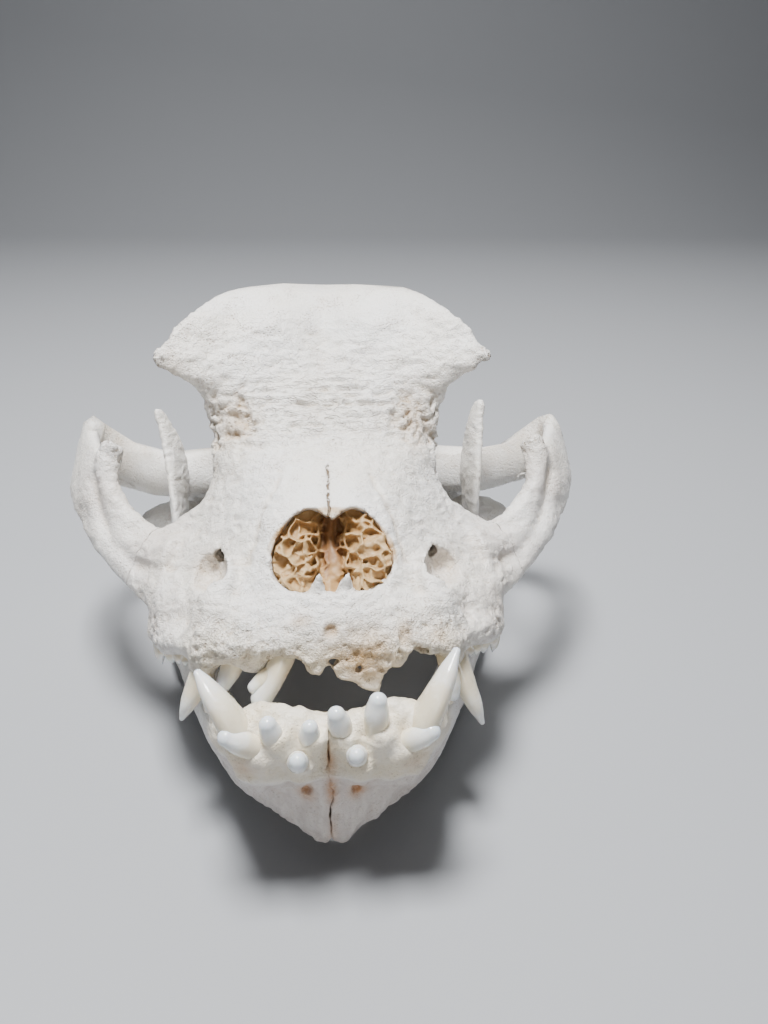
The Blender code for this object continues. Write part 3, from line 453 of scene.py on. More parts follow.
# %% Sizes of the upper skull
HINGE_SEAT = ((38, 101, 27), (15, 6.5, 5))
EAR_DOME = ((19, 113, 17), (8.5, 13, 8.5), (0, 0, -14))
NECK_JOINT = ((9.8, 135.5, 28), (5.8, 7, 9), (0, 25, 0))
FACE = (
    (7, 1.5, 13, 2, 25, 5.5, 34.5, 15, 42, 31, 33, 55),
    (10, 0.5, 12.5, 1.6, 25, 5.4, 34.5, 15.5, 42.6, 32, 34, 55),
    (14, 1.2, 12, 2.6, 24.5, 7, 33.5, 17.5, 44.5, 35, 35, 54),
    (20, 6, 12.5, 8.8, 23.5, 16, 33, 28, 45, 42, 35, 52),
    (24, 9.5, 12.8, 12.2, 23.5, 21.5, 32.5, 33, 42, 43.5, 31, 52),
    (28, 12.8, 12.6, 15.8, 22.5, 26, 30.5, 37, 36, 44, 28, 52),
    (32, 16.5, 12.3, 19.5, 21, 29, 27.5, 37, 30.5, 41.5, 26, 53),
    (38, 24, 12, 27.5, 20, 34.5, 25.5, 41.5, 28, 46, 24, 56),
    (42.5, 32, 12, 34.5, 20, 39, 25.5, 44, 28, 48.5, 23.5, 58),
    (47, 40, 12, 41.5, 20, 44, 26, 48, 28.8, 51.8, 23, 60),
    (54, 47, 12, 47.5, 20, 48.3, 26.5, 49.8, 30, 52.5, 23, 62),
    (60, 51.5, 12, 51.5, 21, 50.8, 28, 50, 32, 50.5, 24, 63),
    (63.5, 54, 13, 53.5, 24, 51.6, 33, 49.6, 38, 49, 26, 63),
    (66.5, 55.8, 14, 55, 26, 52.5, 36, 49.8, 41.5, 48.8, 28, 63),
    (70, 58, 14, 57, 26, 54.8, 35, 52.2, 40.3, 51, 28, 64),
    (75.5, 61.7, 13, 60.5, 23, 58.5, 30.5, 56.3, 35.3, 55.5, 26, 66),
    (80, 66, 12, 64.5, 20, 62.5, 26, 61.2, 30, 61.8, 21, 71),
    (83, 70.5, 10, 68, 16.5, 66.5, 21.5, 66, 25.3, 67, 16, 77),
    (85, 77, 7, 74.5, 12, 73, 16, 72.8, 19, 74.5, 10, 86), (86, 81, 4, 80, 7, 79, 9, 79, 11, 80.5, 7, 87),
)
BRAINCASE = (
    (56, 32, 64, 15, 20, 2.6), (64, 28, 74, 18, 23, 2.9), (73, 24, 81, 20, 26, 3), (84, 22, 84, 23, 28, 2.8),
    (96, 21, 84, 28, 29.5, 2.4), (108, 20, 81, 30, 30, 2.3), (121, 20, 75, 28, 27, 2.3),
    (131, 22, 66, 22, 21, 2.3), (136, 26, 58, 16, 14, 2.3),
)
BROW_BACK = (
    (55, 52, 64, 14, 28, 2.8), (60, 47, 70, 17, 34, 3), (66, 45, 77, 19, 33, 3.1),
    (72, 44, 81.5, 21, 29.5, 3), (80, 43, 84.5, 22, 26.5, 2.8), (90, 43, 85, 25, 26, 2.5),
    (102, 44, 82, 27, 27, 2.4),
)
SKULL_BASE = (
    (54, 17, 34, 12, 14, 2.4), (76, 17, 32, 8, 14, 2.4), (98, 17, 32, 9, 16, 2.4), (118, 18, 32, 10, 16, 2.4),
    (136, 20, 32, 9, 12, 2.4),
)
ARCH = (
    (34, 37, 25, 36, 28, 8, 5.5), (40, 41.5, 23.5, 44, 34.5, 9.5, 5), (46, 44.5, 24.5, 50.5, 40.5, 13.5, 4.2),
    (51, 48, 28.5, 57, 46.5, 18.5, 3.4), (55.2, 51.5, 34.5, 62.8, 53.5, 23.5, 2.8),
    (57.2, 57, 42, 66.4, 62, 28, 2.7), (62, 69, 46, 69, 71, 30.5, 2.6),
    (65.3, 82.5, 49.5, 68.3, 80, 30.5, 2.5), (61.2, 90.5, 44, 62.2, 87, 28.5, 2.6),
    (50.5, 96, 38, 50.5, 93, 24, 3.2), (38, 100, 37, 39, 97, 23, 4), (28, 104, 38, 28, 101, 24, 5),
)
ORBIT_RIM = (
    (38, 41, 22.5, 2.6), (44.5, 44, 23.5, 2.8), (50.5, 47.5, 28, 2.8), (54.5, 51, 34, 2.7),
    (55.4, 54.5, 40.5, 3.2), (54.2, 56.4, 44.6, 3),
)
TOOTH_ROW = (
    (5, 3.5, 13, 5, 4, 7.5, 3), (14, 3.5, 13, 14.5, 4, 6.5, 3.8), (23, 6.5, 12, 24, 7.5, 5, 4.8),
    (30, 13, 11, 31, 13, 3.5, 5), (34, 21, 10, 35.5, 21, 1.5, 4.8), (37, 31, 10, 38.6, 31, 0, 4.8),
    (38.5, 42, 10, 39.6, 42, 0, 4.8), (36, 52, 12, 36.6, 53, 1.5, 4.4), (29, 60, 14, 31, 60, 5, 3.6),
)
NUCHAL_CREST = (
    (0, 139, 72, 0, 122, 60, 2.6), (12, 138, 69, 9, 122, 57, 2.4), (24, 132, 59, 19, 118, 48, 2.3),
    (31, 126, 46, 24, 114, 38, 2.3), (33, 120, 34, 25, 111, 30, 2.4),
)
SAGITTAL_CREST = (
    (0, 88, 86, 0, 88, 74, 2), (0, 104, 84.5, 0, 104, 70, 1.8), (0, 122, 79.5, 0, 120, 62, 1.8),
    (0, 137, 73, 0, 130, 58, 2),
)
PTERYGOID = ((10, 60, 24, 12, 58, 7, 1.8), (9.5, 74, 25, 11, 74, 9, 1.6), (9, 86, 26, 9, 84, 13, 1.6))
HINGE_STOP = ((40, 105, 27, 5), (42, 109, 21, 4), (42.3, 109.6, 16, 2.6), (42.3, 109.2, 13.2, 1))
NECK_PROCESS = ((25, 123, 32, 7), (26, 128, 22, 4.6), (25.5, 130, 14, 2.8), (25, 130, 9.5, 1.2))
PALATE_BACK = (((10, 54, 10.5), (9, 10, 3.4)), ((0, 56, 10.5), (10, 9, 3.2)))
CANINE_ROOT = ((21, 18, 24, 2.6), (23.5, 12.5, 17, 4), (25.8, 10.2, 10, 4.8), (26.8, 9, 5.5, 4))
CHEEK_ROOTS = ((31.8, 19, 8, 4.2), (35.4, 26, 6, 4.6), (37.8, 33, 4.5, 4.6))
BROKEN_EDGE = (
    (-8.6, 8.8), (-6.4, 8), (-5.2, 6.6), (-4.3, 4.6), (-2.9, 3.8), (-1.5, 4.1), (-0.5, 5.8), (0.6, 5.6),
    (1.5, 3.6), (3.4, 2.6), (5.2, 2), (6.8, 0.6), (9, 0), (10.6, 0.5), (11.4, 3.4), (12.6, 5.8), (14.2, 7.2),
)
BROKEN_TOP, BROKEN_BACK, BROKEN_FRONT, BROKEN_HALF = 12.0, 1.4, 0.4, 1.4
BROKEN_LUMP = ((12.9, 5, 11, 3.4), (13.6, 3, 7, 2.6), (14, 2, 4, 1.9))
TOOTH_LUMPS = (((-25.2, 6.6, 8.4), (4.4, 4.6, 5.2)), ((-15.8, 5.4, 7.8), (4.8, 4.2, 5.4)))
UPPER_SOCKETS = (
    ((23.5, 11.5, 17, 4), (25.4, 9.2, 10, 4.4), (26.6, 8, 5, 4), (27.4, 7.6, 2.4, 3)),
    ((20.4, 9.5, 13, 3.4), (20.8, 6.8, 8.5, 3.4), (21, 5.8, 5.2, 2.8)),
    ((12.5, 7, 14, 3.2), (12.8, 5, 10, 3.2), (12.6, 3.8, 7.4, 2.6)),
)


def cranium_forms():
    """The closed forms of the upper skull, without its teeth."""
    one_of_each = [
        slices(FACE),
        loft(BRAINCASE),
        loft(SKULL_BASE),
        loft(BROW_BACK),
        ribbon(SAGITTAL_CREST),
        spike(BROKEN_LUMP),
        *[ellipsoid(centre, radii) for centre, radii in TOOTH_LUMPS],
    ]
    return one_of_each + both(
        ribbon(ARCH, rings=64),
        spike(ORBIT_RIM),
        ribbon(TOOTH_ROW, rings=48),
        ribbon(NUCHAL_CREST),
        ribbon(PTERYGOID),
        spike(CANINE_ROOT),
        *[spike(rows) for rows in UPPER_SOCKETS],
        *[ellipsoid(row[:3], (row[3], row[3] + 1, row[3])) for row in CHEEK_ROOTS],
        ellipsoid(*HINGE_SEAT),
        spike(HINGE_STOP),
        ellipsoid(*EAR_DOME),
        spike(NECK_PROCESS),
        ellipsoid(*NECK_JOINT),
        *[ellipsoid(centre, radii) for centre, radii in PALATE_BACK],
    )


def broken_plate():
    """The thin plate of bone left where the front teeth broke out, with a ragged lower edge."""
    rows = [(x, BROKEN_BACK, BROKEN_TOP, x, BROKEN_FRONT, edge, BROKEN_HALF) for x, edge in BROKEN_EDGE]
    return ribbon(rows, rings=120, around=16, squareness=3.5)


CRANIUM_TOUCHES = (((0, 60, 72), (7, 16, 13), (0, 1.2, -0.8)), ((0, 30, 5), (22, 34, 7), (0, 0, 4)))
SIDE_TOUCHES = (
    ((27.5, 23, 19.5), (7, 7, 7), (0.3, 1.6, 0)), ((32, 13, 8), (4.6, 7, 11), (-2.2, 2.2, 0)),
    ((43, 34, 17), (8, 6, 4.5), (0, 1.8, 0)), ((39.5, 50, 71.5), (3, 7, 3.6), (-0.8, 0, -1.5)),
    ((9, 3, 8), (14, 6, 4), (0, -0.9, 0)), ((11, 61, 78), (9, 10, 9), (0, -1, 0.5)),
    ((24, 60, 77), (7, 9, 8), (0, 1.1, 0)), ((18.5, 18, 23), (4.5, 9, 10), (0, 1.3, 0)),
    ((14, 139, 50), (9, 8, 12), (0, -2.6, 0)), ((62, 52, 27), (6, 9, 5), (-1.2, 0.8, 0)),
)


def two_sided(touches):
    """The touches and their mirror images."""
    side = np.array((-1, 1, 1))
    return list(touches) + [(side * centre, radii, side * push) for centre, radii, push in touches]


print("upper skull:", len(cranium_forms()), "forms")

# %% [markdown]
# The openings are cut with solids of their own: the heart-shaped nasal opening, the hole below each orbit
# for the cheek's nerve, the ear openings, the great hole for the spinal cord and the way from the nose
# to the throat. Cut edges come out too sharp for bone, so the body is remeshed once more afterwards.

# %% Openings
NOSTRIL_CENTRE = (1.1, 11.5, 27.3)
NOSTRIL_LEAN = math.radians(41)
NOSTRIL_OUTLINE = (
    (0, 7.2), (2.3, 9.2), (4.8, 10.1), (8.8, 7.6), (11.6, 2.8), (12.9, -2.4), (12.2, -6.4), (9.4, -8.9),
    (5.4, -9.9), (0, -10.1),
)
NOSTRIL_DEPTH = 26.0
NOSE_DROP = math.radians(14)
NOSE_RUN = np.array([0, math.cos(NOSE_DROP), -math.sin(NOSE_DROP)])
NOSE_UP = np.array([0, math.sin(NOSTRIL_LEAN), math.cos(NOSTRIL_LEAN)])


def nostril_outline(count):
    """The heart-shaped outline of the nasal opening in its own plane, as offsets across and up."""
    half = np.array(NOSTRIL_OUTLINE)
    whole = np.concatenate([half, half[-2:0:-1] * (-1, 1)])
    return run_through(np.concatenate([whole[-2:], whole, whole[:3]]), count + 1, 2, 2)[:-1]


def nasal_tunnel():
    """The nasal cavity: rings of the opening's outline at these depths and widths, back and a little down."""
    outline = nostril_outline(72)
    flat = outline[:, :1] * (1.0, 0, 0) + outline[:, 1:] * NOSE_UP
    sizes = ((-8.0, 1.0), (0.0, 1.0), (3.0, 1.02), (NOSTRIL_DEPTH * 0.6, 0.95), (NOSTRIL_DEPTH, 0.75))
    return np.array([np.array(NOSTRIL_CENTRE) + flat * width + NOSE_RUN * depth for depth, width in sizes])


EAR_OPENING = ((42, 108, 27, 3.2), (33, 108, 27, 3), (25, 109, 27, 1.8))
FORAMEN_MAGNUM = ((0, 152, 33, 7.6), (0, 140, 33.5, 7.4), (0, 131, 35, 6.4), (0, 125, 36, 3.4))
CHOANA_CENTRE, CHOANA_RADII = (0, 60, 15.2), (7.5, 11, 3.8)
NASAL_SPINES = (
    ((-2.4, 9.3, 17.8, 2.04), (-2, 7.6, 20.3, 1.56), (-1.6, 6.4, 23.5, 0.35)),
    ((3.5, 9.3, 18, 2.04), (3.8, 7.6, 20.5, 1.56), (4.3, 6.4, 23.6, 0.35)),
)
NERVE_MOUTH = ((25.8, 12, 23, 4.5), (26.5, 18.5, 21.4, 4.7), (26.8, 22.5, 20.6, 4.3), (27, 26.5, 20, 2.2))
BREAKS = (
    ((0.5, -3, 13.4, 1.5), (0.5, 2.2, 12.8, 1.3)), ((0.9, -4, 7, 1), (0.9, 4, 6.8, 0.9)),
    ((6.3, -4, 5.6, 1.15), (6.3, 4, 5.4, 1)), ((4, -4, 9.6, 0.8), (4.2, 3, 9.4, 0.6)),
    ((8.4, -4, 8.2, 0.9), (8.4, 3, 8, 0.6)), ((7, -4, 12, 0.7), (7, 3, 11.6, 0.5)),
    ((10.6, -4, 5, 0.7), (10.6, 3, 4.8, 0.6)),
    ((14.4, -0.6, 16.6, 0.8), (15.2, 0.8, 13.8, 1.7), (15.5, 0.6, 11, 1.3), (15, 0.2, 9.2, 0.6)),
    ((21.2, -0.6, 13.6, 0.5), (22.6, 2, 11.6, 0.9), (24.4, 2.4, 9.8, 0.5)),
    ((18.6, -2, 6.6, 2.3), (18.2, 5, 8.5, 1.8)), ((-6.2, -2, 15.2, 0.5), (-6, 3, 14.8, 0.4)),
)
NERVE_HOLE = ((24.6, 19, 23.2, 1.5), (23.8, 28, 23, 1.6), (22.6, 40, 23, 1.2))
COARSE_VOXEL, FINE_VOXEL, ROUNDING, LAST_ROUNDING = 0.8, 0.56, 8, 2


def build_cranium():
    cranium = mesh_object("cranium_bone", cranium_forms())
    fuse(cranium, COARSE_VOXEL)
    ease(cranium, ROUNDING)
    press(cranium, two_sided(SIDE_TOUCHES) + list(CRANIUM_TOUCHES))
    openings = both(spike(NERVE_MOUTH), spike(EAR_OPENING), spike(NERVE_HOLE))
    openings += [nasal_tunnel(), spike(FORAMEN_MAGNUM), ellipsoid(CHOANA_CENTRE, CHOANA_RADII)]
    for opening in openings:
        cut(cranium, opening)
    cut(cranium, broken_plate(), operation="UNION")
    for hole in BREAKS:
        cut(cranium, spike(hole))
    for spine in NASAL_SPINES:
        cut(cranium, spike(spine), operation="UNION")
    fuse(cranium, FINE_VOXEL)
    return ease(cranium, LAST_ROUNDING)


cranium = build_cranium()
print("upper skull:", triangle_count(cranium), "triangles before its detail")

# %% [markdown]
# ### Relief of the upper skull
#
# Each mark is put where the animal had it. The brow carries fine wrinkles from the skin above it, two
# rough patches lie beside the root of the nose, the rims of the orbits are granular, and the bone over
# the long tooth roots is spongy. Sutures are thin wandering grooves.

# %% Where the marks are
WRINKLES = (((0, 48, 54), (27, 14, 13)),)
SMOOTH_NOSE = (((3.5, 24, 36), (8.5, 16, 13)),)
UPPER_BROW = (((12, 68, 79), (34, 16, 14)),)
PITTED = (((20.8, 47.5, 51.5), (6.5, 9, 8.5)), ((27.5, 50, 47), (3.2, 6, 13)))
ROUGH = (
    ((41.5, 48.8, 66), (5, 6, 5)), ((53.4, 55.5, 44.5), (6, 6, 6)), ((65.5, 82, 49), (6, 8, 5)),
    ((24.5, 4.5, 10.5), (6, 6, 8)), ((36, 24, 7), (8, 10, 5)), ((8, 1.2, 9), (13, 5, 5.5)),
    ((17, 3, 10), (9, 6, 7)),
)
# Greyer pink below and behind the orbits and over the cheek teeth: partly the bone's tint, partly painted
# shade on sides that face away from the lamp above.
PINK_AND_SHADED_SIDES = (((42, 38, 22), (13, 14, 12)), ((56, 52, 34), (12, 16, 12)), ((36, 26, 10), (10, 14, 8)))
CANINE_CREASE = ((21.6, 16.8, 24), (23.2, 12.8, 20.6), (25.8, 9.2, 16), (28.2, 6.8, 10.5), (30, 7, 5.5))
CANINE_BULGE = ((19.6, 13, 22.5), (21.6, 8.6, 17.6), (24, 5.8, 12.5), (26, 4.8, 7.5))
CREAM_PLACES = (((8, 1, 7.5), (20, 6, 5.5)), ((24, 4, 6), (8, 8, 7)))
RIM_CREASE = (
    (37, 31, 18.4), (42, 35, 17.6), (46.5, 37.5, 18.4), (52, 43, 22), (57.5, 48, 29.5), (60, 52, 37),
)
NOSE_EDGE = np.array(NOSTRIL_CENTRE) + nostril_outline(40) @ np.array([(1, 0, 0), NOSE_UP])
NOSE_GROOVE = ((15.4, 23.5, 33), (17.8, 18.6, 28), (19.2, 13.6, 22), (20.2, 10.4, 17))
NASAL_SIDE_SUTURE = (
    (10.2, 31.5, 41.5), (11.9, 27, 37.4), (14.6, 22.5, 32.5), (16.2, 18.7, 27.3), (17.4, 15.6, 23.6),
)
SLIT_PLACE, SLIT_FRONT, SLIT_BACK, SLIT_LEVEL = 0.55, 15.0, 32.5, 28.0
BROW_SUTURE = ((0, 33, 43), (5, 35, 44.4), (10.2, 31.5, 41.5), (15, 36, 40), (20, 40.5, 41), (27.5, 46, 40))
FOREHEAD_MIDLINE = ((0, 45, 52), (0, 54, 64), (0, 61, 75), (0, 68, 82), (0, 84, 87))
CHEEK_SUTURE = ((39, 30, 9), (41.5, 34.5, 14), (43, 38, 20), (43.5, 41, 24))
SKULL_SUTURES = (
    ((0, 92, 86), (14, 93, 82), (24, 92, 72), (29, 90, 58), (29, 90, 44)),
    ((30, 90, 44), (33, 98, 50), (34, 110, 50), (30, 122, 44), (26, 126, 36)),
    ((0, 88, 86), (0, 104, 85), (0, 122, 80), (0, 136, 73)),
    ((39, 45, 24), (35, 48, 27), (31, 52, 30), (29, 56, 36)),
)
ARCH_LOWER_EDGE = [row[3:6] for row in ARCH[3:9]]


def suture(points, path, width, wander, seed):
    """A groove along a path and its mirror image, bent by noise on the points that it is measured from."""
    points = fold(points)
    sway = np.column_stack([soft_noise(points, 1.7, seed + axis) for axis in range(3)])
    return np.exp(-1.5 * (path_distance(points + sway * wander, path) / width) ** 2)


def cranium_relief(points):
    """The height to add at each point in millimetres, and how wrinkled, spongy, pitted and so on it is."""
    folded = fold(points)
    wrinkled = bells(points, WRINKLES)
    pitted = bells(points, PITTED)
    rough = bells(points, ROUGH)
    ragged = band(folded, ARCH_LOWER_EDGE, 3.2)
    rim = band(folded, [row[:3] for row in ORBIT_RIM], 3.0)
    beside_rim = band(folded, RIM_CREASE, 2.3)
    smooth = np.maximum(bells(points, SMOOTH_NOSE), 0.85 * bells(points, UPPER_BROW))
    braincase, arch = ramp(points[:, 1], 56, 74), ramp(folded[:, 0], 42, 50)
    texture = (1 - smooth) * (1 - 0.6 * braincase) * (1 - 0.55 * arch)
    height = 0.14 * layered(points, 7.0, 4, 20)
    height += texture * (0.30 * crests(points * (0.6, 1, 1), 2.4, 25) - 0.12)
    height += 0.14 * texture * layered(points, 1.5, 2, 31)
    stretched = points * (0.33, 1, 1)
    height += wrinkled * (0.85 * crests(stretched, 2.1, 33) - 0.35 + 0.35 * soft_noise(stretched, 2.8, 39))
    pit = np.clip(2.4 * layered(bent(points, 1.8, 40), 1.7, 2, 44), -0.8, 1)
    height -= pitted * (0.35 + 1.0 * pit)
    height += rough * (0.75 * layered(points, 2.8, 3, 50) + 0.15)
    pore, _ = cell_noise(bent(points, 1.8, 56), 1.7, 60)
    height -= 0.8 * rough * ramp(-pore, -0.45, -0.2)
    height += ragged * 0.5 * layered(points, 2.0, 2, 70)
    height += rim * (0.45 + 0.6 * layered(points, 1.5, 2, 80)) - 1.5 * beside_rim
    height += 0.45 * band(points, NOSE_EDGE, 1.6) - 0.45 * band(folded, NOSE_GROOVE, 2.4)
    height += 0.8 * band(folded, CANINE_BULGE, 2.6) - 1.0 * band(folded, CANINE_CREASE, 1.6)
    grooves = np.zeros(len(points))
    for path, width, wander, seed in (
        (NASAL_SIDE_SUTURE, 0.9, 0.5, 90),
        (BROW_SUTURE, 0.4, 1.3, 93),
        (CHEEK_SUTURE, 0.45, 0.9, 96),
    ) + tuple((path, 0.4, 1.6, 99) for path in SKULL_SUTURES):
        grooves = np.maximum(grooves, suture(points, path, width, wander, seed))
    beside_slit, back, up = points[:, 0] - SLIT_PLACE, points[:, 1], points[:, 2]
    near_slit = ramp(-abs(beside_slit), -2.2, -1.4) * ramp(up, SLIT_LEVEL, SLIT_LEVEL + 2)
    near_slit *= ramp(back, SLIT_FRONT, SLIT_FRONT + 1.5) * ramp(-back, -SLIT_BACK, 1 - SLIT_BACK)
    height -= 0.5 * grooves + 0.5 * near_slit * np.exp(-1.5 * (beside_slit / 0.6) ** 2)
    height -= 0.45 * band(points, FOREHEAD_MIDLINE, 3.5)
    marks = {
        "wrinkled": wrinkled,
        "spongy": np.maximum(rough, ragged * 0.6),
        "pitted": np.maximum(pitted, rim * 0.4),
        "grainy": texture,
        "groove": 0.7 * grooves,
        "slit": near_slit,
        # greyer pink on the sides: partly the bone's tint, partly painted shade
        "lower": 0.75 * bells(points, PINK_AND_SHADED_SIDES),
        "cream": bells(points, CREAM_PLACES),
    }
    return height, marks


height, _ = cranium_relief(points_of(cranium))
raise_by(cranium, height)
print("relief from", round(float(height.min()), 2), "to", round(float(height.max()), 2), "mm")

# %% [markdown]
# ### Sutures of the cheek arch
#
# The cheek bone is a bone of its own, joined to the skull at a suture in front, below the eye, and at a
# slanting one behind. A wavy sheet as thin as paper parts it, and what is left is sorted
# into bones by which points hang together.

# %% The cheek bones
FRONT_SUTURE, FRONT_FACING = (45.5, 41, 18), (0.88, 0.35, 0.30)
REAR_SUTURE, REAR_FACING = (66, 79, 39), (0, -0.75, -0.66)
SUTURE_GAP = 0.12


def suture_sheet(point, facing, half_along, half_across, seed):
    """A thin wavy sheet about a point: a plane's two directions, with noise along its normal."""
    normal = unit(np.array(facing, float))
    one = unit(np.cross(normal, (0, 0, 1.0)))
    other = np.cross(normal, one)
    across = np.linspace(-half_across, half_across, 60)
    rings = []
    for along in np.linspace(-half_along, half_along, 60):
        spots = np.array(point) + one * along + other * across[:, None]
        middle = spots + 0.9 * layered(spots, 4.0, 3, seed)[:, None] * normal
        lip = normal * SUTURE_GAP / 2
        rings.append(np.concatenate([middle + lip, (middle - lip)[::-1]]))
    return np.array(rings)


def part_labels(obj):
    """A number for each point, the same for all points that hang together, found by spreading along edges."""
    one, other = edge_ends(obj)
    label = np.arange(len(obj.data.vertices))
    while True:
        low = np.minimum(label[one], label[other])
        spread = label.copy()
        np.minimum.at(spread, one, low)
        np.minimum.at(spread, other, low)
        spread = spread[spread]
        if (spread == label).all():
            return label
        label = spread


def take_part(obj, name, wanted):
    """A new object that holds only the wanted points of another."""
    part = new_object(name, obj.data.copy())
    built = bmesh.new()
    built.from_mesh(part.data)
    built.verts.ensure_lookup_table()
    gone = [built.verts[i] for i in np.flatnonzero(~wanted)]
    bmesh.ops.delete(built, geom=gone, context="VERTS")
    built.to_mesh(part.data)
    built.free()
    return part


for side in (1, -1):
    for sheet in (
        suture_sheet(FRONT_SUTURE, FRONT_FACING, 17, 20, 110),
        suture_sheet(REAR_SUTURE, REAR_FACING, 18, 25, 113),
    ):
        cut(cranium, sheet if side > 0 else mirrored(sheet))
labels = part_labels(cranium)
names, sizes = np.unique(labels, return_counts=True)
across = points_of(cranium)[:, 0]
largest = names[np.argsort(sizes)[::-1][:3]]
print("parted into", len(names), "pieces of", sorted(sizes.tolist())[-3:], "points")
cheeks = {}
for label in largest[1:]:
    wanted = labels == label
    side = "left" if across[wanted].mean() > 0 else "right"
    cheeks[side] = take_part(cranium, "cheek_bone_" + side, wanted)
cranium_all = cranium
cranium = take_part(cranium_all, "cranium_bone", labels == largest[0])
bpy.data.objects.remove(cranium_all)
cranium.name = "cranium_bone"
print("cheek bones:", sorted(cheeks))

# %% [markdown]
# ## The lower jaw
#
# Each half is a blade that carries the teeth and rises behind them as a thin plate for the chewing
# muscles, with a cross-bar that hinges in the skull. The halves never quite join: between the chins
# stays a narrow seam. Only the left half's sizes are listed, and the right is its mirror image, except
# that its grain is its own.

# %% Sizes of the lower jaw
JAW_BODY = (
    (-4, -9.5, 0, -4, 1.8, -34.8, 4.4), (2, -9.6, 0, 2, 2, -34.6, 4.5), (8, -10.5, 1, 5, 4, -31.8, 4.8),
    (14.5, -9, 1.5, 10, 8, -29.3, 5.4), (19.5, -2.5, -3, 15.5, 13.5, -27.8, 5.4),
    (24, 9, -6.5, 20, 22, -27.3, 5), (28.8, 24, -7, 25.5, 33, -26.8, 4.6),
    (33.5, 40, -6, 31.5, 46, -25.4, 4.4), (38, 56, -3, 37, 59, -22.4, 4.2), (42.5, 69, 2, 42.5, 73, -18, 3.8),
    (46, 79, 4, 46.5, 87, -13, 3.2),
)
JAW_RAMUS = (
    (49.5, 104, -8, 40.5, 56, -16, 3.4), (49, 101, 2, 41, 61, -4, 3.2), (47, 97, 11, 41, 65, 9, 2.5),
    (43.8, 93, 20, 42, 69, 21, 1.9), (41.8, 90, 31, 44, 74, 32, 1.8), (42.8, 88.5, 41, 46, 78.5, 42, 1.6),
    (45.8, 86, 49.5, 47.6, 81.5, 51.5, 1.2),
)
JAW_NECK = ((46.5, 91, -3, 4.6), (48, 95.5, 5, 4.4), (49, 98.8, 12, 3.8), (49.5, 100.5, 16.5, 3.2))
ANGLE = ((47, 92, -7, 5), (49, 101, -6.5, 4.2), (48.5, 107, -5, 2.8), (47.5, 110.5, -2.5, 1.4))
JAW_HINGE = ((49.5, 100.5, 17), (9.5, 4, 4), (0, 12, -12))
CHIN_RIDGE = ((16.5, -8, -6, 2.8), (13, -4.5, -17, 2.2), (8, 0, -28, 1.6))

SOCKETS = (
    ((13.8, -5.5, -16, 3), (15.6, -8.4, -9, 4), (17.4, -9.6, -4, 3.9), (18.6, -9.8, -0.6, 3.1)),
    ((8.6, -6, -14, 2.8), (9.2, -9.4, -8, 3.4), (9.9, -11.9, -3.6, 3.3), (10.2, -12.8, -1.4, 2.6)),
    ((2.6, -5.5, -14, 2.6), (2.8, -9, -8, 3.2), (2.9, -11.4, -3.8, 3.1), (2.9, -12.4, -1.8, 2.5)),
    ((5.8, -6, -15, 2.8), (5.8, -9.8, -10.5, 3.3), (5.8, -12.2, -8.4, 3), (5.7, -13.3, -7.4, 2.5)),
    ((10.4, -6, -15, 2.8), (11.8, -9.4, -10, 3.6), (13.6, -11.4, -6.8, 3.4), (15.2, -12.3, -5.2, 2.7)),
)


def jaw_forms():
    return [
        *[spike(rows) for rows in SOCKETS],
        ribbon(JAW_BODY, rings=56, around=28, squareness=2.8),
        ribbon(JAW_RAMUS, rings=40, around=28),
        spike(CHIN_RIDGE),
        ellipsoid(*JAW_HINGE),
        spike(JAW_NECK),
        spike(ANGLE),
    ]


JAW_TOUCHES = (
    ((-0.6, 1.8, -36), (2, 6, 5), (0, 0, 4)), ((7, 2, -34.5), (3.6, 7, 4), (0, 0, 1.8)),
    ((12, -6, -22), (8, 5, 6), (0, 1.3, 0)), ((5, -8, -23), (4, 5, 5), (0, 0.7, 0)),
)
CORONOID_TOUCHES = {
    1: ((46, 84.5, 51), (9, 14, 16), (-1.2, 0, 2.4)),
    -1: ((46, 84.5, 52), (9, 9, 11), (1.2, 0, 0.8)),
}
MENTAL_HOLES = (
    ((4.2, -16, -15.4, 1.3), (4.7, -9, -16.5, 1.25), (5.2, -6.6, -17.2, 0.7)),
    ((4.8, -16, -17.2, 1.2), (5.4, -8.6, -18.4, 1.15), (5.8, -6.2, -19, 0.6)),
    ((31, 9, -15.5, 1.3), (24, 11, -16, 1.1), (19, 13, -16.5, 0.7)),
)

JAW_COARSE_VOXEL, JAW_FINE_VOXEL, JAW_ROUNDING = 0.7, 0.46, 9
MIDLINE, SEAM_WANDER, OFF_TO_THE_RIGHT = -0.04, 0.55, -30


def midline_block(side, columns=70):
    """What is cut off a jaw half at the seam between the chins: a slab whose near face wanders with noise."""
    rings = []
    for y in np.linspace(-24, 16, 60):
        upright = np.linspace(-44, 12, columns)
        face = np.column_stack([0 * upright + MIDLINE, 0 * upright + y, upright])
        face[:, 0] += side * SEAM_WANDER * layered(face, 6.0, 3, 120)
        back = np.column_stack([0 * upright + OFF_TO_THE_RIGHT, face[::-1, 1:]])
        rings.append(np.concatenate([face, back]))
    return np.array(rings)


GROWTH_LINE = -13.0
SOCKET_EDGE = ((16, -9, -8.5), (11, -9.5, -9), (5, -9.8, -9.5), (1, -9.5, -10))
TOP_EDGE = ((1, -8.5, -0.5), (6, -8.5, -0.5), (11.4, -9.5, 0.8), (15.4, -8.5, 0.6), (19, -6, 1.6))
CHIN_TIP = (3.0, 0.5, -33)


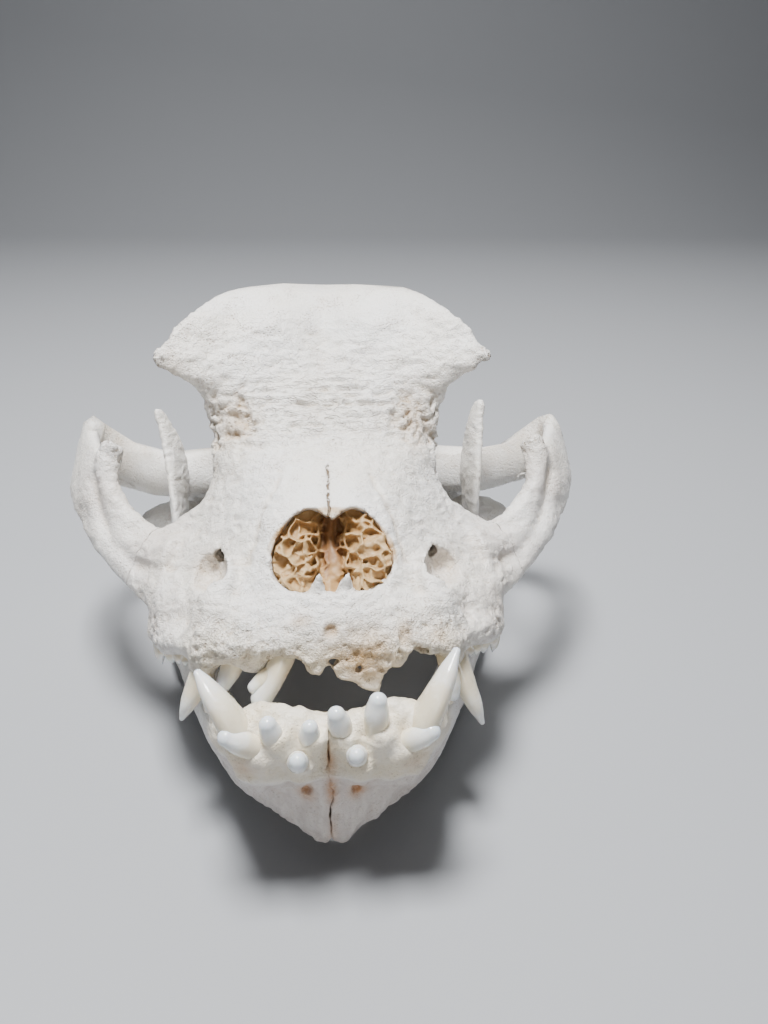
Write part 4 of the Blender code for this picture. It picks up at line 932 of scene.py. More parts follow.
def jaw_relief(points, seed):
    """The height to add to a half of the lower jaw, and how spongy, streaked and cream it is; its greyer part
    below the growth line is partly the bone's tint and partly painted shade where the chin faces down.
    """
    folded = fold(points)
    spongy = band(folded, SOCKET_EDGE, 3.6)
    front = ramp(-points[:, 1], -12, -4)
    line = GROWTH_LINE + 0.5 * soft_noise(points, 3.0, 5)
    below = front * ramp(line - points[:, 2], -0.6, 0.9)
    chin = bell(folded, CHIN_TIP, (4, 5, 5))
    height = 0.11 * layered(points, 6.0, 4, seed)
    height += 0.20 * crests(points * (0.8, 0.5, 1), 2.4, seed + 3) - 0.08
    height += spongy * (0.36 * layered(points, 2.2, 3, seed + 5) + 0.06)
    height += 0.32 * front * bell(folded * (0, 1, 1), (0, -9.5, GROWTH_LINE + 0.8), (9, 6, 1.4))
    broken = band(folded, TOP_EDGE, 3.2)
    height += broken * (0.9 * layered(points, 2.8, 3, seed + 20) + 0.25)
    pore, _ = cell_noise(points, 1.3, seed + 9)
    height -= 0.34 * spongy * ramp(-pore, -0.36, -0.15)
    height += 0.28 * below * layered(points * (1, 1, 0.3), 1.5, 2, seed + 12)
    height += 0.35 * chin * layered(points, 2.0, 2, seed + 15)
    marks = {
        "spongy": spongy * 0.7,
        # greyer below the growth line: partly the bone's tint, partly painted shade
        "lower": below,
        "cream": front * ramp(points[:, 2], -14, -11),
        "grainy": 0.5 + 0.4 * below,
    }
    return height, marks


def build_jaw(name, side, seed):
    jaw = mesh_object(name, jaw_forms())
    fuse(jaw, JAW_COARSE_VOXEL)
    ease(jaw, JAW_ROUNDING)
    press(jaw, JAW_TOUCHES + (CORONOID_TOUCHES[side],))
    for form in (midline_block(side), *[spike(hole) for hole in MENTAL_HOLES]):
        cut(jaw, form)
    fuse(jaw, JAW_FINE_VOXEL)
    ease(jaw, LAST_ROUNDING)
    if side < 0:
        jaw.data.transform(Matrix.Scale(-1, 4, (1, 0, 0)))
        jaw.data.flip_normals()
    height, marks = jaw_relief(points_of(jaw), seed)
    raise_by(jaw, height)
    print(name, triangle_count(jaw), "triangles")
    return jaw, marks


jaw_left, jaw_left_marks = build_jaw("jaw_bone_left", 1, 130)
jaw_right, jaw_right_marks = build_jaw("jaw_bone_right", -1, 160)

# %% [markdown]
# ## Teeth
#
# The long canines are hooks, the small teeth between them are pegs worn round, and the cheek teeth are
# blades with cusps. They are bodies of their own sunk in the bone, with a finer skin than the bone, since
# enamel is smooth. A number along each tooth, 0 at its root and 1 at its tip, lets the enamel turn
# from cream to a clear bluish white.

# %% Tooth forms
LOWER_CANINE_LEFT = (
    (15.5, -6, -11, 1.7), (17.5, -9.3, -4, 3.1), (20.1, -9.8, 1.8, 2.75), (22.8, -8.4, 7, 1.95),
    (24.9, -6.5, 10.9, 0.8),
)
LOWER_CANINE_RIGHT = (
    (-15.5, -6, -11, 1.7), (-17.2, -9.3, -4, 3.1), (-19.8, -9.8, 1.2, 2.7), (-22.8, -8.4, 5.3, 1.95),
    (-25.2, -6.6, 8.2, 0.8),
)
UPPER_CANINE_LEFT = (
    (26.5, 11, 9, 2.4), (27.9, 9, 2, 2.5), (29.6, 7.6, -3, 2.25), (31.3, 6.8, -7, 1.7),
    (32.9, 6.8, -10.9, 0.6),
)
UPPER_CANINE_RIGHT = (
    (-25, 11, 10, 2.4), (-26.4, 9, 3.6, 2.5), (-28.2, 7.8, -0.8, 2.3), (-29.9, 7.2, -4.4, 1.75),
    (-31.4, 7.2, -7.6, 0.6),
)
INCISORS_UPPER = (
    ((-8, 6.5, 13, 2.4), (-9.6, 3.4, 7, 2.6), (-11.8, 1.9, 2.4, 2.3), (-13.9, 1.3, -0.9, 2.3)),
    ((-18, 8.5, 11, 2.2), (-19.4, 6.3, 6, 2.4), (-20.7, 5.4, 3.2, 2.2), (-21.9, 5, 1, 1.7)),
    ((24, 8, 8, 1.8), (25, 5.4, 3, 2), (25.7, 4.7, -0.6, 2.1), (26, 4.5, -2.9, 1.7)),
)
INCISORS_LOWER_RIGHT = (
    ((-12, -8.5, -9, 2.5), (-14.8, -11.8, -5, 2.5), (-17.6, -13, -3, 2.3), (-19.4, -13.6, -1.9, 1.7)),
    ((-9.8, -8.5, -9, 2.2), (-10.4, -11.5, -4.5, 2.3), (-11.2, -13, -1.4, 2.2), (-11.6, -13.7, 0.4, 1.7)),
    ((-4.4, -8, -9, 2), (-4.2, -11, -4.6, 2.1), (-3.9, -12.6, -2, 2), (-3.8, -13.3, -0.7, 1.6)),
    ((-6.3, -9, -11, 1.9), (-6.3, -12, -8.6, 2), (-6.2, -14.2, -7, 2), (-6.2, -15.2, -6.4, 1.6)),
)
INCISORS_LOWER_LEFT = (
    ((2.6, -8, -9, 2.1), (2.3, -11, -3.2, 2.2), (1.6, -12.6, 0.2, 2.2), (1.2, -13.4, 1.8, 1.7)),
    ((5.3, -9, -10, 1.9), (5.2, -12, -7.8, 2), (4.9, -14.2, -6.2, 2), (4.9, -15.2, -5.7, 1.6)),
    ((8.8, -8.5, -8, 2.2), (8.8, -11.5, -2, 2.3), (8.9, -12.6, 1.8, 2.3), (9.1, -13, 4, 1.8)),
    ((11.4, -8.5, -9, 2.4), (14.4, -11.5, -5.4, 2.4), (17.2, -12.8, -3.6, 2.3), (19.2, -13.3, -2.4, 1.8)),
)
UPPER_CHEEK = (
    (31, 15.5, 2.8, 4.6, 3.2, 2.4, 20, ((-1, 0.3), (-0.1, 1), (1, 0.3))),
    (33.4, 21, 2, 7.2, 3.9, 3.2, 34, ((-1, 0.3), (-0.15, 1), (0.5, 0.45), (1, 0.3))),
    (36.4, 27, 1.2, 8.4, 4.6, 4.4, 40, ((-1, 0.3), (-0.2, 1), (0.5, 0.5), (1, 0.35))),
    (39.6, 35, 0.4, 14, 6.2, 6.8, 14, ((-1, 0.35), (-0.35, 1), (0.1, 0.55), (0.55, 0.8), (1, 0.4))),
    (37.4, 45, 0.2, 8.8, 10, 2.4, -16, ((-1, 0.6), (-0.4, 1), (0, 0.6), (0.5, 0.9), (1, 0.5))),
    (34.2, 52, 1.4, 5.4, 7.6, 2.2, -34, ((-1, 0.6), (-0.3, 1), (0.3, 0.8), (1, 0.5))),
)
LOWER_CHEEK = (
    (21.6, -0.5, -3.6, 3.8, 2.8, 3.2, 35, ((-1, 0.4), (0, 1), (1, 0.4))),
    (24, 5.5, -5.2, 6, 3.4, 1.7, 30, ((-1, 0.35), (-0.1, 1), (1, 0.35))),
    (26.2, 12.5, -6.2, 7, 3.8, 5, 22, ((-1, 0.35), (-0.1, 1), (0.5, 0.5), (1, 0.35))),
    (28.4, 20.5, -6.8, 8.4, 4.4, 6.2, 18, ((-1, 0.35), (-0.15, 1), (0.5, 0.55), (1, 0.4))),
    (31.6, 32.5, -6.4, 16.5, 6, 8.6, 16,
     ((-1, 0.5), (-0.6, 0.75), (-0.4, 0.6), (0, 1), (0.4, 0.35), (1, 0.26))),
    (35.4, 45, -5.2, 7, 5.2, 1.9, 16, ((-1, 0.5), (-0.4, 1), (0.2, 0.7), (1, 0.5))),
)
CROWN_ROOT, ENAMEL_WAVE = 3.4, 0.06


def peg(rows, deep=1.0, cap_rings=9):
    """A tooth round along its path and closed by a dome: circles that shrink as a cosine over the tip."""
    body = spike(rows, rings=44, around=36)
    before, end = body[-2:].mean(1)
    tip = body[-1] - end
    run = unit(end - before)
    radius = np.linalg.norm(tip, axis=1).mean()
    dome = []
    for turn in np.linspace(0, np.pi / 2, cap_rings)[1:]:
        dome.append(end + run * radius * math.sin(turn) + tip * max(math.cos(turn), 0.02))
    whole = np.concatenate([body, dome])
    centre = whole.mean(1, keepdims=True)
    return centre + (whole - centre) * (1, deep, 1)


def crown(size, direction, around=56, rings=22):
    """A cheek tooth: its outline at the root, neck, belly and shoulder, and its cusps along the top.

    A smooth curve through each of its upright lines gives it more rings.
    """
    x, y, edge, length, width, height, heading, cusps = size
    c, s = rounded(circle(around), 2.4)
    ridge = np.interp(c, [place for place, _ in cusps], [tall for _, tall in cusps])
    angle = math.radians(heading)
    coarse = []
    for along, across, rise in (
        (0.74, 0.62, np.full(around, -CROWN_ROOT / height)),
        (0.86, 0.84, np.zeros(around)),
        (1.0, 1.0, np.full(around, 0.24)),
        (0.97, 0.84, 0.24 + (ridge - 0.24) * 0.62),
        (0.86, 0.42, ridge),
    ):
        wide, long = s * across * width / 2, c * along * length / 2
        sideways = wide * math.cos(angle) + long * math.sin(angle)
        backwards = long * math.cos(angle) - wide * math.sin(angle)
        coarse.append(np.column_stack([x + sideways, y + backwards, edge + direction * rise * height]))
    upright = np.array(coarse).transpose(1, 0, 2)
    return np.array([run_through(line, rings) for line in upright]).transpose(1, 0, 2)


def teeth_object(name, canines, pegs, cheek, direction, sides, seed):
    """All the teeth of one bone in one object, each with its number from root to tip."""
    chance = np.random.default_rng(seed)
    forms = [peg(rows, 1.5) for rows in canines] + [peg(rows) for rows in pegs]
    rooted = len(forms)
    for side in sides:
        for size in cheek:
            form = crown((*size[:5], size[5] * chance.uniform(0.9, 1.0), *size[6:]), direction)
            forms.append(form if side > 0 else mirrored(form))
    obj = mesh_object(name, forms)
    along = []
    for i, form in enumerate(forms):
        level = np.linspace(0, 1, len(form)) if i < rooted else np.linspace(-0.2, 0.85, len(form))
        along.append(np.concatenate([np.repeat(level, form.shape[1]), [level[0], level[-1]]]))
    raise_by(obj, ENAMEL_WAVE * layered(points_of(obj), 3.0, 3, seed))
    keep(obj, "crown", np.concatenate(along))
    print(name, len(forms), "forms,", triangle_count(obj), "triangles")
    return obj


SIDE_LOBE = ((-11.6, 2.2, 4, 1.9), (-13.6, 1.8, 2.6, 1.85), (-15.3, 1.4, 1.4, 1.4))
upper_canines, upper_pegs = (UPPER_CANINE_LEFT, UPPER_CANINE_RIGHT), INCISORS_UPPER + (SIDE_LOBE,)
upper_teeth = teeth_object("upper_teeth", upper_canines, upper_pegs, UPPER_CHEEK, -1, (1, -1), 11)
lower_teeth_left, lower_teeth_right = (
    teeth_object("lower_teeth_" + name, (canine,), pegs, LOWER_CHEEK, 1, (side,), seed)
    for name, canine, pegs, side, seed in (
        ("left", LOWER_CANINE_LEFT, INCISORS_LOWER_LEFT, 1, 12),
        ("right", LOWER_CANINE_RIGHT, INCISORS_LOWER_RIGHT, -1, 13),
    )
)

# %% [markdown]
# ## Turbinates
#
# Behind the nasal opening thin scrolls of bone once warmed the air. From the front they look like a
# honeycomb of pale edges around deep honey-brown cells, on either side of the septum. Each scroll is
# a blade that runs back into the nose, and its front edge is worn to and fro by noise. Between the blades
# lies a slab whose front is a bowl, with thin folds on it where the cells of a noise meet.

# %% Scrolls
SCROLLS = (
    ((3, 6.4), (6.6, 6.2), (9.6, 3.5), (10.9, -1), (10.2, -5), (7.9, -7.3), (4.8, -7.2)),
    ((3, 6.4), (2.5, 3), (3.3, -0.6), (2.7, -3.6), (4.8, -7.2)), ((2.5, 3), (5.2, 3.4), (8, 2.2), (10, 2.5)),
    ((3.3, -0.6), (6, -1.2), (8.6, -0.4), (10.8, -1.4)),
    ((2.7, -3.6), (5.6, -4.2), (8.2, -3.8), (10.3, -4.6)), ((6.7, 6.2), (6.4, 4.6), (6.9, 2.7)),
    ((5, 3.4), (5.6, 1.2), (4.9, -0.9)), ((8.6, 2.2), (8.1, 0.8), (8.4, -0.5)),
    ((6.6, -1.1), (7.2, -2.6), (6.7, -4.1)), ((9.1, -0.6), (8.8, -2.4), (9.2, -4.1)),
    ((5.2, -4.1), (5.9, -5.8), (5.5, -7.3)), ((8, -3.9), (7.7, -5.6), (8, -7.3)),
)
SEPTUM = ((0, 6.6), (-0.3, 1), (0.3, -4), (0, -8.6))
SEPTUM_FRONT, SEPTUM_HALVES = 8.1, (0.9, 0.9, 1.3, 2.0, 2.4, 2.4)
SCROLL_FRONT, SCROLL_THIN, OUTER_SCROLL_BACK, SCROLL_STRETCH = 4.9, 0.30, 2.6, (1.08, 1.12)
FLOOR_BACK, BOWL_DEPTH, BOWL_RISE = 14.0, 8.6, 2.8
FOLD_CELL, FOLD_WIDTH, FOLD_HEIGHT = 4.1, 0.13, 2.4
SMALL_CELL, SMALL_WIDTH, SMALL_HEIGHT = 1.6, 0.2, 0.3
SCROLL_VOXEL = 0.26
TOP_OUTLINE = np.array(NOSTRIL_OUTLINE[:6])
LOW_OUTLINE = np.array(NOSTRIL_OUTLINE[5:][::-1])


def in_nose(across, up, depth):
    """The point at this place across and up the nasal opening and this far behind it."""
    return np.array(NOSTRIL_CENTRE) + (across, 0, 0) + up * NOSE_UP + depth * NOSE_RUN


def scroll_floor(side, columns=70, rows=110):
    """What lies between the scrolls on one side: a slab whose front is a bowl with thin folds on it.

    The depth is least at the side wall and most beside the septum, and cell noise raises the folds.
    """
    rings = []
    for across in np.linspace(1.2, TOP_OUTLINE[-1, 0] - 0.05, columns):
        high = np.interp(across, TOP_OUTLINE[:, 0], TOP_OUTLINE[:, 1]) + 0.5
        low = np.interp(across, LOW_OUTLINE[:, 0], LOW_OUTLINE[:, 1]) - 0.5
        up = np.linspace(low, high, rows)
        flat = np.column_stack([np.full(rows, side * across), up, np.full(rows, 0.5)])
        flat[:, :2] += 0.9 * np.column_stack([soft_noise(flat, 2.5, 181), soft_noise(flat, 2.5, 182)])
        depth = BOWL_DEPTH - BOWL_RISE * ramp(np.array([across]), 2.0, 8.0)
        for cell, width, tall, seed in (
            (FOLD_CELL, FOLD_WIDTH, FOLD_HEIGHT, 183),
            (SMALL_CELL, SMALL_WIDTH, SMALL_HEIGHT, 187),
        ):
            near, next_near = cell_noise(flat, cell, seed + side)
            depth = depth - tall * np.exp(-(((next_near - near) / width) ** 2))
        depth += 4.0 * np.exp(-(((across - 3.4) / 0.8) ** 2) - ((up + 6.5) / 2.6) ** 2)
        depth += 2.2 * ramp(np.array([-across]), -4.4, -2.6)
        front = [in_nose(side * across, u, d) for u, d in zip(up, depth)]
        back = [in_nose(side * across, u, FLOOR_BACK) for u in (high, low)]
        rings.append(np.array(front + back))
    return np.array(rings)


def scroll_blades():
    """The scrolls' blades, thinner than bone elsewhere, and the septum between the two sides."""
    blades = []
    for number, path in enumerate(SCROLLS):
        front = SCROLL_FRONT + (OUTER_SCROLL_BACK if number < 2 else 0)
        for side in (1, -1):
            spots = np.array(path) * SCROLL_STRETCH * (side, 1)
            rows = [[*in_nose(*spot, front), *in_nose(*spot, FLOOR_BACK - 1), SCROLL_THIN] for spot in spots]
            blades.append(ribbon(rows, rings=40, around=12, squareness=3))
    plate = zip(((0, 8.6), *SEPTUM, (0, -10.6)), SEPTUM_HALVES)
    rows = [[*in_nose(*spot, SEPTUM_FRONT), *in_nose(*spot, FLOOR_BACK), half] for spot, half in plate]
    return blades + [ribbon(rows, rings=40, around=24, squareness=2.4)]


turbinates = mesh_object("turbinate_scrolls", scroll_blades() + [scroll_floor(1), scroll_floor(-1)])
fuse(turbinates, SCROLL_VOXEL)
spots = points_of(turbinates)
deep_in = (spots - np.array(NOSTRIL_CENTRE)) @ NOSE_RUN
worn = ramp(-deep_in, -9.0, -3.0)
sway = np.column_stack([soft_noise(spots, 2.2, 190), 0 * worn, soft_noise(spots, 2.2, 191)])
wear = 1.2 * worn * layered(spots, 2.4, 2, 193)
set_points(turbinates, spots + 0.35 * sway + NOSE_RUN * wear[:, None])
# Darker deeper in and in the hollows between the folds, as painted shade over the honey colour, and darkest
# in the channel beside the septum, partly its brown and partly painted shade.
channel = ramp(-abs(spots[:, 0] - NOSTRIL_CENTRE[0]), -2.8, -1.6) * ramp(deep_in, 1.5, 4.5)
shaded = 0.35 * ramp(deep_in, 3.5, 8.5) + 0.45 * ramp(hollows(turbinates, 12), -0.02, 0.2)
shaded = np.minimum(shaded, 0.7) + 0.6 * channel
keep(turbinates, "deep", shaded)
print("turbinates:", triangle_count(turbinates), "triangles")

# %% [markdown]
# ## What the materials read
#
# The bone's colour follows numbers kept on its points: hollows hold a tan that is partly dirt and partly
# painted shade, spongy and pitted places are darker, from painted shade in their pores, and rougher, a few
# spots of staining lie where they lay on the animal, and painted shade lies in the bowls round the nerve
# holes below the eyes. They are stored before the bones are turned to rest, since the places are given in the
# skull's own frame.

# %% Numbers for the bones' colour
# The first two spots are painted shade in the bowls round the nerve holes below the eyes; the rest are
# staining.
STAINS_AND_PAINTED_SHADE = (
    ((26.8, 22, 20.6), (4.2, 6, 4.2), 0.6), ((-26.8, 22, 20.6), (4.2, 6, 4.2), 0.6),
    ((-5.5, 2, 15), (3, 3, 1.6), 0.55), ((0.6, 1.6, 13), (2, 5, 1.8), 1), ((7, 0, 8), (7.5, 8, 6), 1),
    ((15.3, 1.5, 12.5), (2.2, 3, 3.5), 0.7), ((22.8, 2.4, 11.6), (3, 3, 3), 0.5),
    ((-39, 52, 63), (6, 5, 4), 0.45), ((39, 52, 63), (6, 5, 4), 0.35), ((22, 47.5, 51), (6, 8, 8), 0.5),
    ((-22, 47.5, 51), (6, 8, 8), 0.5), ((0, 128, 34), (14, 12, 14), 0.35), ((0, 60, 13), (14, 16, 8), 0.4),
)
NASAL_TIP, INSIDE_HALVES = (0.9, 16.5, 32.0), (13.6, 10.8)


def bone_numbers(obj, marks, stain_and_shade_spots):
    """Stores how hollow each point is, for a tan that is partly dirt and partly painted shade, how much
    staining or painted shade it has, and the marks of its relief.
    """
    points = points_of(obj)
    fine = ramp(hollows(obj, 4), 0.0, 0.10)
    broad = ramp(hollows(obj, 60), 0.05, 1.1)
    stain_and_shade_level = np.max([strength * bell(points, centre, radii) for centre, radii, strength in stain_and_shade_spots], axis=0)
    from_nose = points - np.array(NOSTRIL_CENTRE)
    depth = from_nose @ NOSE_RUN
    beside = (from_nose[:, 0] / INSIDE_HALVES[0]) ** 2 + ((from_nose @ NOSE_UP) / INSIDE_HALVES[1]) ** 2
    inside = ramp(depth, 2.2, 4.4) * ramp(-depth, -32, -28) * ramp(-beside, -1.14, -1.0)
    inside *= 1 - bell(points, NASAL_TIP, (4.5, 4, 2.6))
    groove = marks.get("groove", 0)
    # Tan in the hollows: the sutures' dark joints, partly dirt and partly painted shade in the fine hollows
    # and pits, and painted shade in the broad hollows.
    keep(obj, "hollow", fine * (0.18 + 0.7 * marks.get("pitted", 0)) + 0.35 * broad + 0.8 * groove)
    keep(obj, "stain_and_shade", np.maximum(stain_and_shade_level, inside))
    for name in ("wrinkled", "spongy", "pitted", "grainy", "cream", "lower", "slit"):
        keep(obj, name, marks.get(name, np.zeros(len(points))))


SEAM_STAINS = (
    ((0, -9.5, -17), (1.6, 4, 6), 1), ((0, -10, -9), (1.5, 4, 5), 0.8), ((0, -2, -28), (1.2, 6, 6), 0.6),
    ((5.1, -8, -17.4), (2.3, 6, 3.2), 1), ((-5.1, -8, -17.4), (2.3, 6, 3.2), 1),
    ((16.5, -13, -9), (3.5, 4, 3), 0.3), ((-16.5, -13, -9), (3.5, 4, 3), 0.45),
)
MOST_TRIANGLES = 190000
print("upper skull:", triangle_count(cranium), "triangles")
# Faces are merged at the back of the skull, the more the further back, until few enough are left.
if triangle_count(cranium) > MOST_TRIANGLES:
    behind = cranium.vertex_groups.new(name="behind")
    share = np.ceil(4 * ramp(points_of(cranium)[:, 1], 60, 75))
    for level in range(1, 5):
        behind.add(np.flatnonzero(share == level).tolist(), level / 4, "REPLACE")
    modified(cranium, "DECIMATE", ratio=MOST_TRIANGLES / triangle_count(cranium), vertex_group="behind")
    cranium.vertex_groups.clear()
print("upper skull:", triangle_count(cranium), "triangles kept")
for bone in (cranium, cheeks["left"], cheeks["right"]):
    bone_numbers(bone, cranium_relief(points_of(bone))[1], STAINS_AND_PAINTED_SHADE)
bone_numbers(jaw_left, jaw_left_marks, SEAM_STAINS)
bone_numbers(jaw_right, jaw_right_marks, SEAM_STAINS)

# %% [markdown]
# ## Materials
#
# One node group makes bleached bone for every piece: a cream that drifts towards grey and pink over
# centimetres, tan in the hollows that is partly dirt and partly painted shade, honey and amber in the
# staining and as painted shade in the bowls round the nerve holes, a greyer pink on the lower sides that is
# partly tint and partly painted shade, and fine pores and creases that darken the colour as painted shade,
# with some dirt, and dent the surface together. Enamel and turbinate bone have groups of their own. The
# groups are built by a few small helpers, so that each line below reads as one step of the recipe.


# %% Helpers for shader nodes
def plug(tree, value, socket):
    """Links a node's output to a socket, or writes a plain number or colour into it."""
    value = getattr(value, "socket", value)
    if isinstance(value, bpy.types.NodeSocket):
        tree.links.new(value, socket)
    else:
        socket.default_value = value


def new_node(tree, kind, plugs=(), **settings):
    """A node with these settings, and with a number, a colour or another node's output in its sockets."""
    node = tree.nodes.new("ShaderNode" + kind)
    for name, setting in settings.items():
        setattr(node, name, setting)
    for socket, value in dict(plugs).items():
        plug(tree, value, node.inputs[socket])
    return node


class Value:
    """A node's output that can be added, subtracted and multiplied like a number, by Math nodes."""

    def __init__(self, tree, socket):
        self.tree, self.socket = tree, socket

    def math(self, operation, other=0.0, clamp=False):
        node = new_node(self.tree, "Math", {0: self, 1: other}, operation=operation, use_clamp=clamp)
        return Value(self.tree, node.outputs[0])

    def __add__(self, other):
        return self.math("ADD", other)

    def __sub__(self, other):
        return self.math("SUBTRACT", other)

    def __mul__(self, other):
        return self.math("MULTIPLY", other)

    def or_more(self, other):
        return self.math("MAXIMUM", other)


class Recipe:
    """A shader group with number inputs and the outputs Color, Roughness and Height, built step by step."""

    def __init__(self, name, inputs):
        self.tree = bpy.data.node_groups.new(name, "ShaderNodeTree")
        for label, value in inputs.items():
            socket = self.tree.interface.new_socket(label, in_out="INPUT", socket_type="NodeSocketFloat")
            socket.default_value = value
        source = self.tree.nodes.new("NodeGroupInput")
        self.given = {label: Value(self.tree, source.outputs[label]) for label in inputs}

    def finish(self, colour, roughness, height):
        for label, kind in (("Color", "Color"), ("Roughness", "Float"), ("Height", "Float")):
            self.tree.interface.new_socket(label, in_out="OUTPUT", socket_type="NodeSocket" + kind)
        result = self.tree.nodes.new("NodeGroupOutput")
        for label, value in (("Color", colour), ("Roughness", roughness), ("Height", height)):
            plug(self.tree, value, result.inputs[label])
        return self.tree

    def step(self, kind, output, plugs=(), **settings):
        return Value(self.tree, new_node(self.tree, kind, plugs, **settings).outputs[output])

    def place(self, stretch=(1.0, 1.0, 1.0)):
        """The point's own place on the object, stretched along each axis."""
        return self.step("Mapping", "Vector", {"Vector": self.step("TexCoord", "Object"), "Scale": stretch})

    def spread(self, value, low, high, new_low=0.0, new_high=1.0):
        """Maps a number smoothly from one span to another."""
        plugs = {"Value": value, "From Min": low, "From Max": high, "To Min": new_low, "To Max": new_high}
        return self.step("MapRange", "Result", plugs, interpolation_type="SMOOTHSTEP")

    def blend(self, factor, one, other):
        return self.step("Mix", 2, {"Factor": factor, 6: one, 7: other}, data_type="RGBA")

    def noise(self, where, size_mm, detail=3.0, rough=0.55, output="Fac"):
        plugs = {"Vector": where, "Scale": 1 / (size_mm * MM), "Detail": detail, "Roughness": rough}
        return self.step("TexNoise", output, plugs)

    def pores(self, where, size_mm):
        """1 in the middle of small round pits and 0 between them."""
        away = self.step("TexVoronoi", "Distance", {"Vector": where, "Scale": 1 / (size_mm * MM)})
        return self.spread(away, 0.16, 0.40, 1.0, 0.0)

    def warped(self, where, size_mm, amount_mm):
        """The place moved about by three noises, so that a regular pattern wanders."""
        cloud = self.noise(where, size_mm, 2, 0.5, "Color")
        centred = self.step("VectorMath", 0, {0: cloud, 1: (0.5,) * 3}, operation="SUBTRACT")
        plugs = {0: centred, 1: (amount_mm * MM,) * 3, 2: where}
        return self.step("VectorMath", 0, plugs, operation="MULTIPLY_ADD")

    def creases(self, where, size_mm, width=0.05):
        """1 on thin wandering lines, where a soft noise passes through its middle, and 0 between them."""
        away = (self.noise(where, size_mm, 1.5, 0.5) - 0.5).math("ABSOLUTE")
        return self.spread(away, 0.0, width, 1.0, 0.0)

    def dotted_line(self, where, x_mm):
        """1 on a wavering broken line that runs along the head at this x."""
        waver = (self.noise(where, 2.0, 2) - 0.5) * (1.2 * MM)
        off = (self.step("SeparateXYZ", "X", {0: where}) - x_mm * MM + waver).math("ABSOLUTE")
        broken = self.spread(self.noise(where, 1.3, 2), 0.36, 0.52)
        return self.spread(off, 0.12 * MM, 0.36 * MM, 1.0, 0.0) * broken


# %% Bleached bone
CHALK = (0.87, 0.855, 0.825, 1)
PALE = (0.84, 0.805, 0.74, 1)
CREAM = (0.80, 0.71, 0.54, 1)
GREY_PINK = (0.60, 0.53, 0.49, 1)
TAN = (0.52, 0.38, 0.22, 1)
HONEY = (0.52, 0.33, 0.15, 1)
AMBER = (0.50, 0.23, 0.09, 1)
# Brown for the pores and creases: painted shade in them, with some dirt in the pits.
PORE_DIRT_AND_SHADE = (0.42, 0.31, 0.20, 1)
SLIT_BROWN = (0.16, 0.10, 0.05, 1)
BONE_MARKS = ("Hollow", "Wrinkled", "Spongy", "Pitted", "Grainy", "Cream", "Stain_and_shade", "Lower", "Slit")


def bone_group():
    """Chalk to pale by broad noise; cream, tan, honey and grey by the marks, partly painted shade; pores and
    creases darkened as painted shade; pits and creases in height.
    """
    bone = Recipe("bleached_bone", dict.fromkeys((*BONE_MARKS, "Amber"), 0))
    mark, spread, noise = bone.given, bone.spread, bone.noise
    where = bone.place()
    middle, grain = noise(where, 5, 4), noise(where, 0.7, 4, 0.65)
    streaks = noise(bone.place((1.0, 1.0, 0.25)), 1.6, 3)
    worm_gap = bone.creases(where, 1.9) * mark["Grainy"]
    line_gap = bone.creases(bone.place((0.33, 1.0, 1.0)), 1.5) * mark["Wrinkled"]
    porous = bone.creases(where, 0.85, 0.07) * mark["Spongy"]
    spots = bone.pores(bone.warped(where, 1.5, 0.5), 1.25) * mark["Spongy"].or_more(mark["Pitted"])
    few = bone.pores(where, 0.6) * spread(middle, 0.45, 0.7, 0.1, 0.5)
    # Pores and creases darken the colour as painted shade, with some dirt in the pits.
    dark = (spots * 0.75).or_more(few)
    gaps = (worm_gap * 0.03).or_more(line_gap * 0.14).or_more(porous * 0.18)
    slit = bone.dotted_line(where, SLIT_PLACE + REST_SHIFT[0]) * mark["Slit"]
    colour = bone.blend(spread(noise(where, 22, 2), 0.35, 0.65), CHALK, PALE)
    for share, shade in (
        (spread(middle, 0.45, 0.75) * 0.14, GREY_PINK),
        (spread(middle, 0.25, 0.65, 0.5, 1.0) * mark["Cream"], CREAM),
        # greyer pink on the lower sides: partly tint, partly painted shade
        (spread(streaks, 0.3, 0.7, 0.45, 0.9) * mark["Lower"], GREY_PINK),
        # tan in the hollows: partly dirt, partly painted shade
        (spread(middle, 0.25, 0.75, 0.3, 0.9) * mark["Hollow"], TAN),
        # honey and amber staining, and painted shade in the bowls round the nerve holes
        (spread(middle, 0.25, 0.65, 0.6, 1.0) * mark["Stain_and_shade"], bone.blend(mark["Amber"], HONEY, AMBER)),
        # painted shade in the pores and creases, with some dirt
        (dark.or_more(gaps), PORE_DIRT_AND_SHADE),
        (spread(grain, 0.50, 0.40, 0.0, 0.3) * mark["Grainy"], GREY_PINK),
        (slit, SLIT_BROWN),
    ):
        colour = bone.blend(share, colour, shade)
    rough = spread(grain, 0.3, 0.7, 0.26, 0.44).math("ADD", mark["Spongy"] * 0.2, clamp=True)
    height = grain * 0.8
    for share, weight in ((dark, 0.9), (worm_gap, 0.25), (line_gap, 0.7), (porous, 0.7), (slit, 1.5)):
        height = height - share * weight
    return bone.finish(colour, rough, height + middle * 0.5)


ENAMEL_CREAM = (0.79, 0.71, 0.54, 1)
ENAMEL_WHITE = (0.84, 0.83, 0.78, 1)
ENAMEL_TIP = (0.74, 0.79, 0.83, 1)
NECK_BROWN = (0.46, 0.31, 0.15, 1)


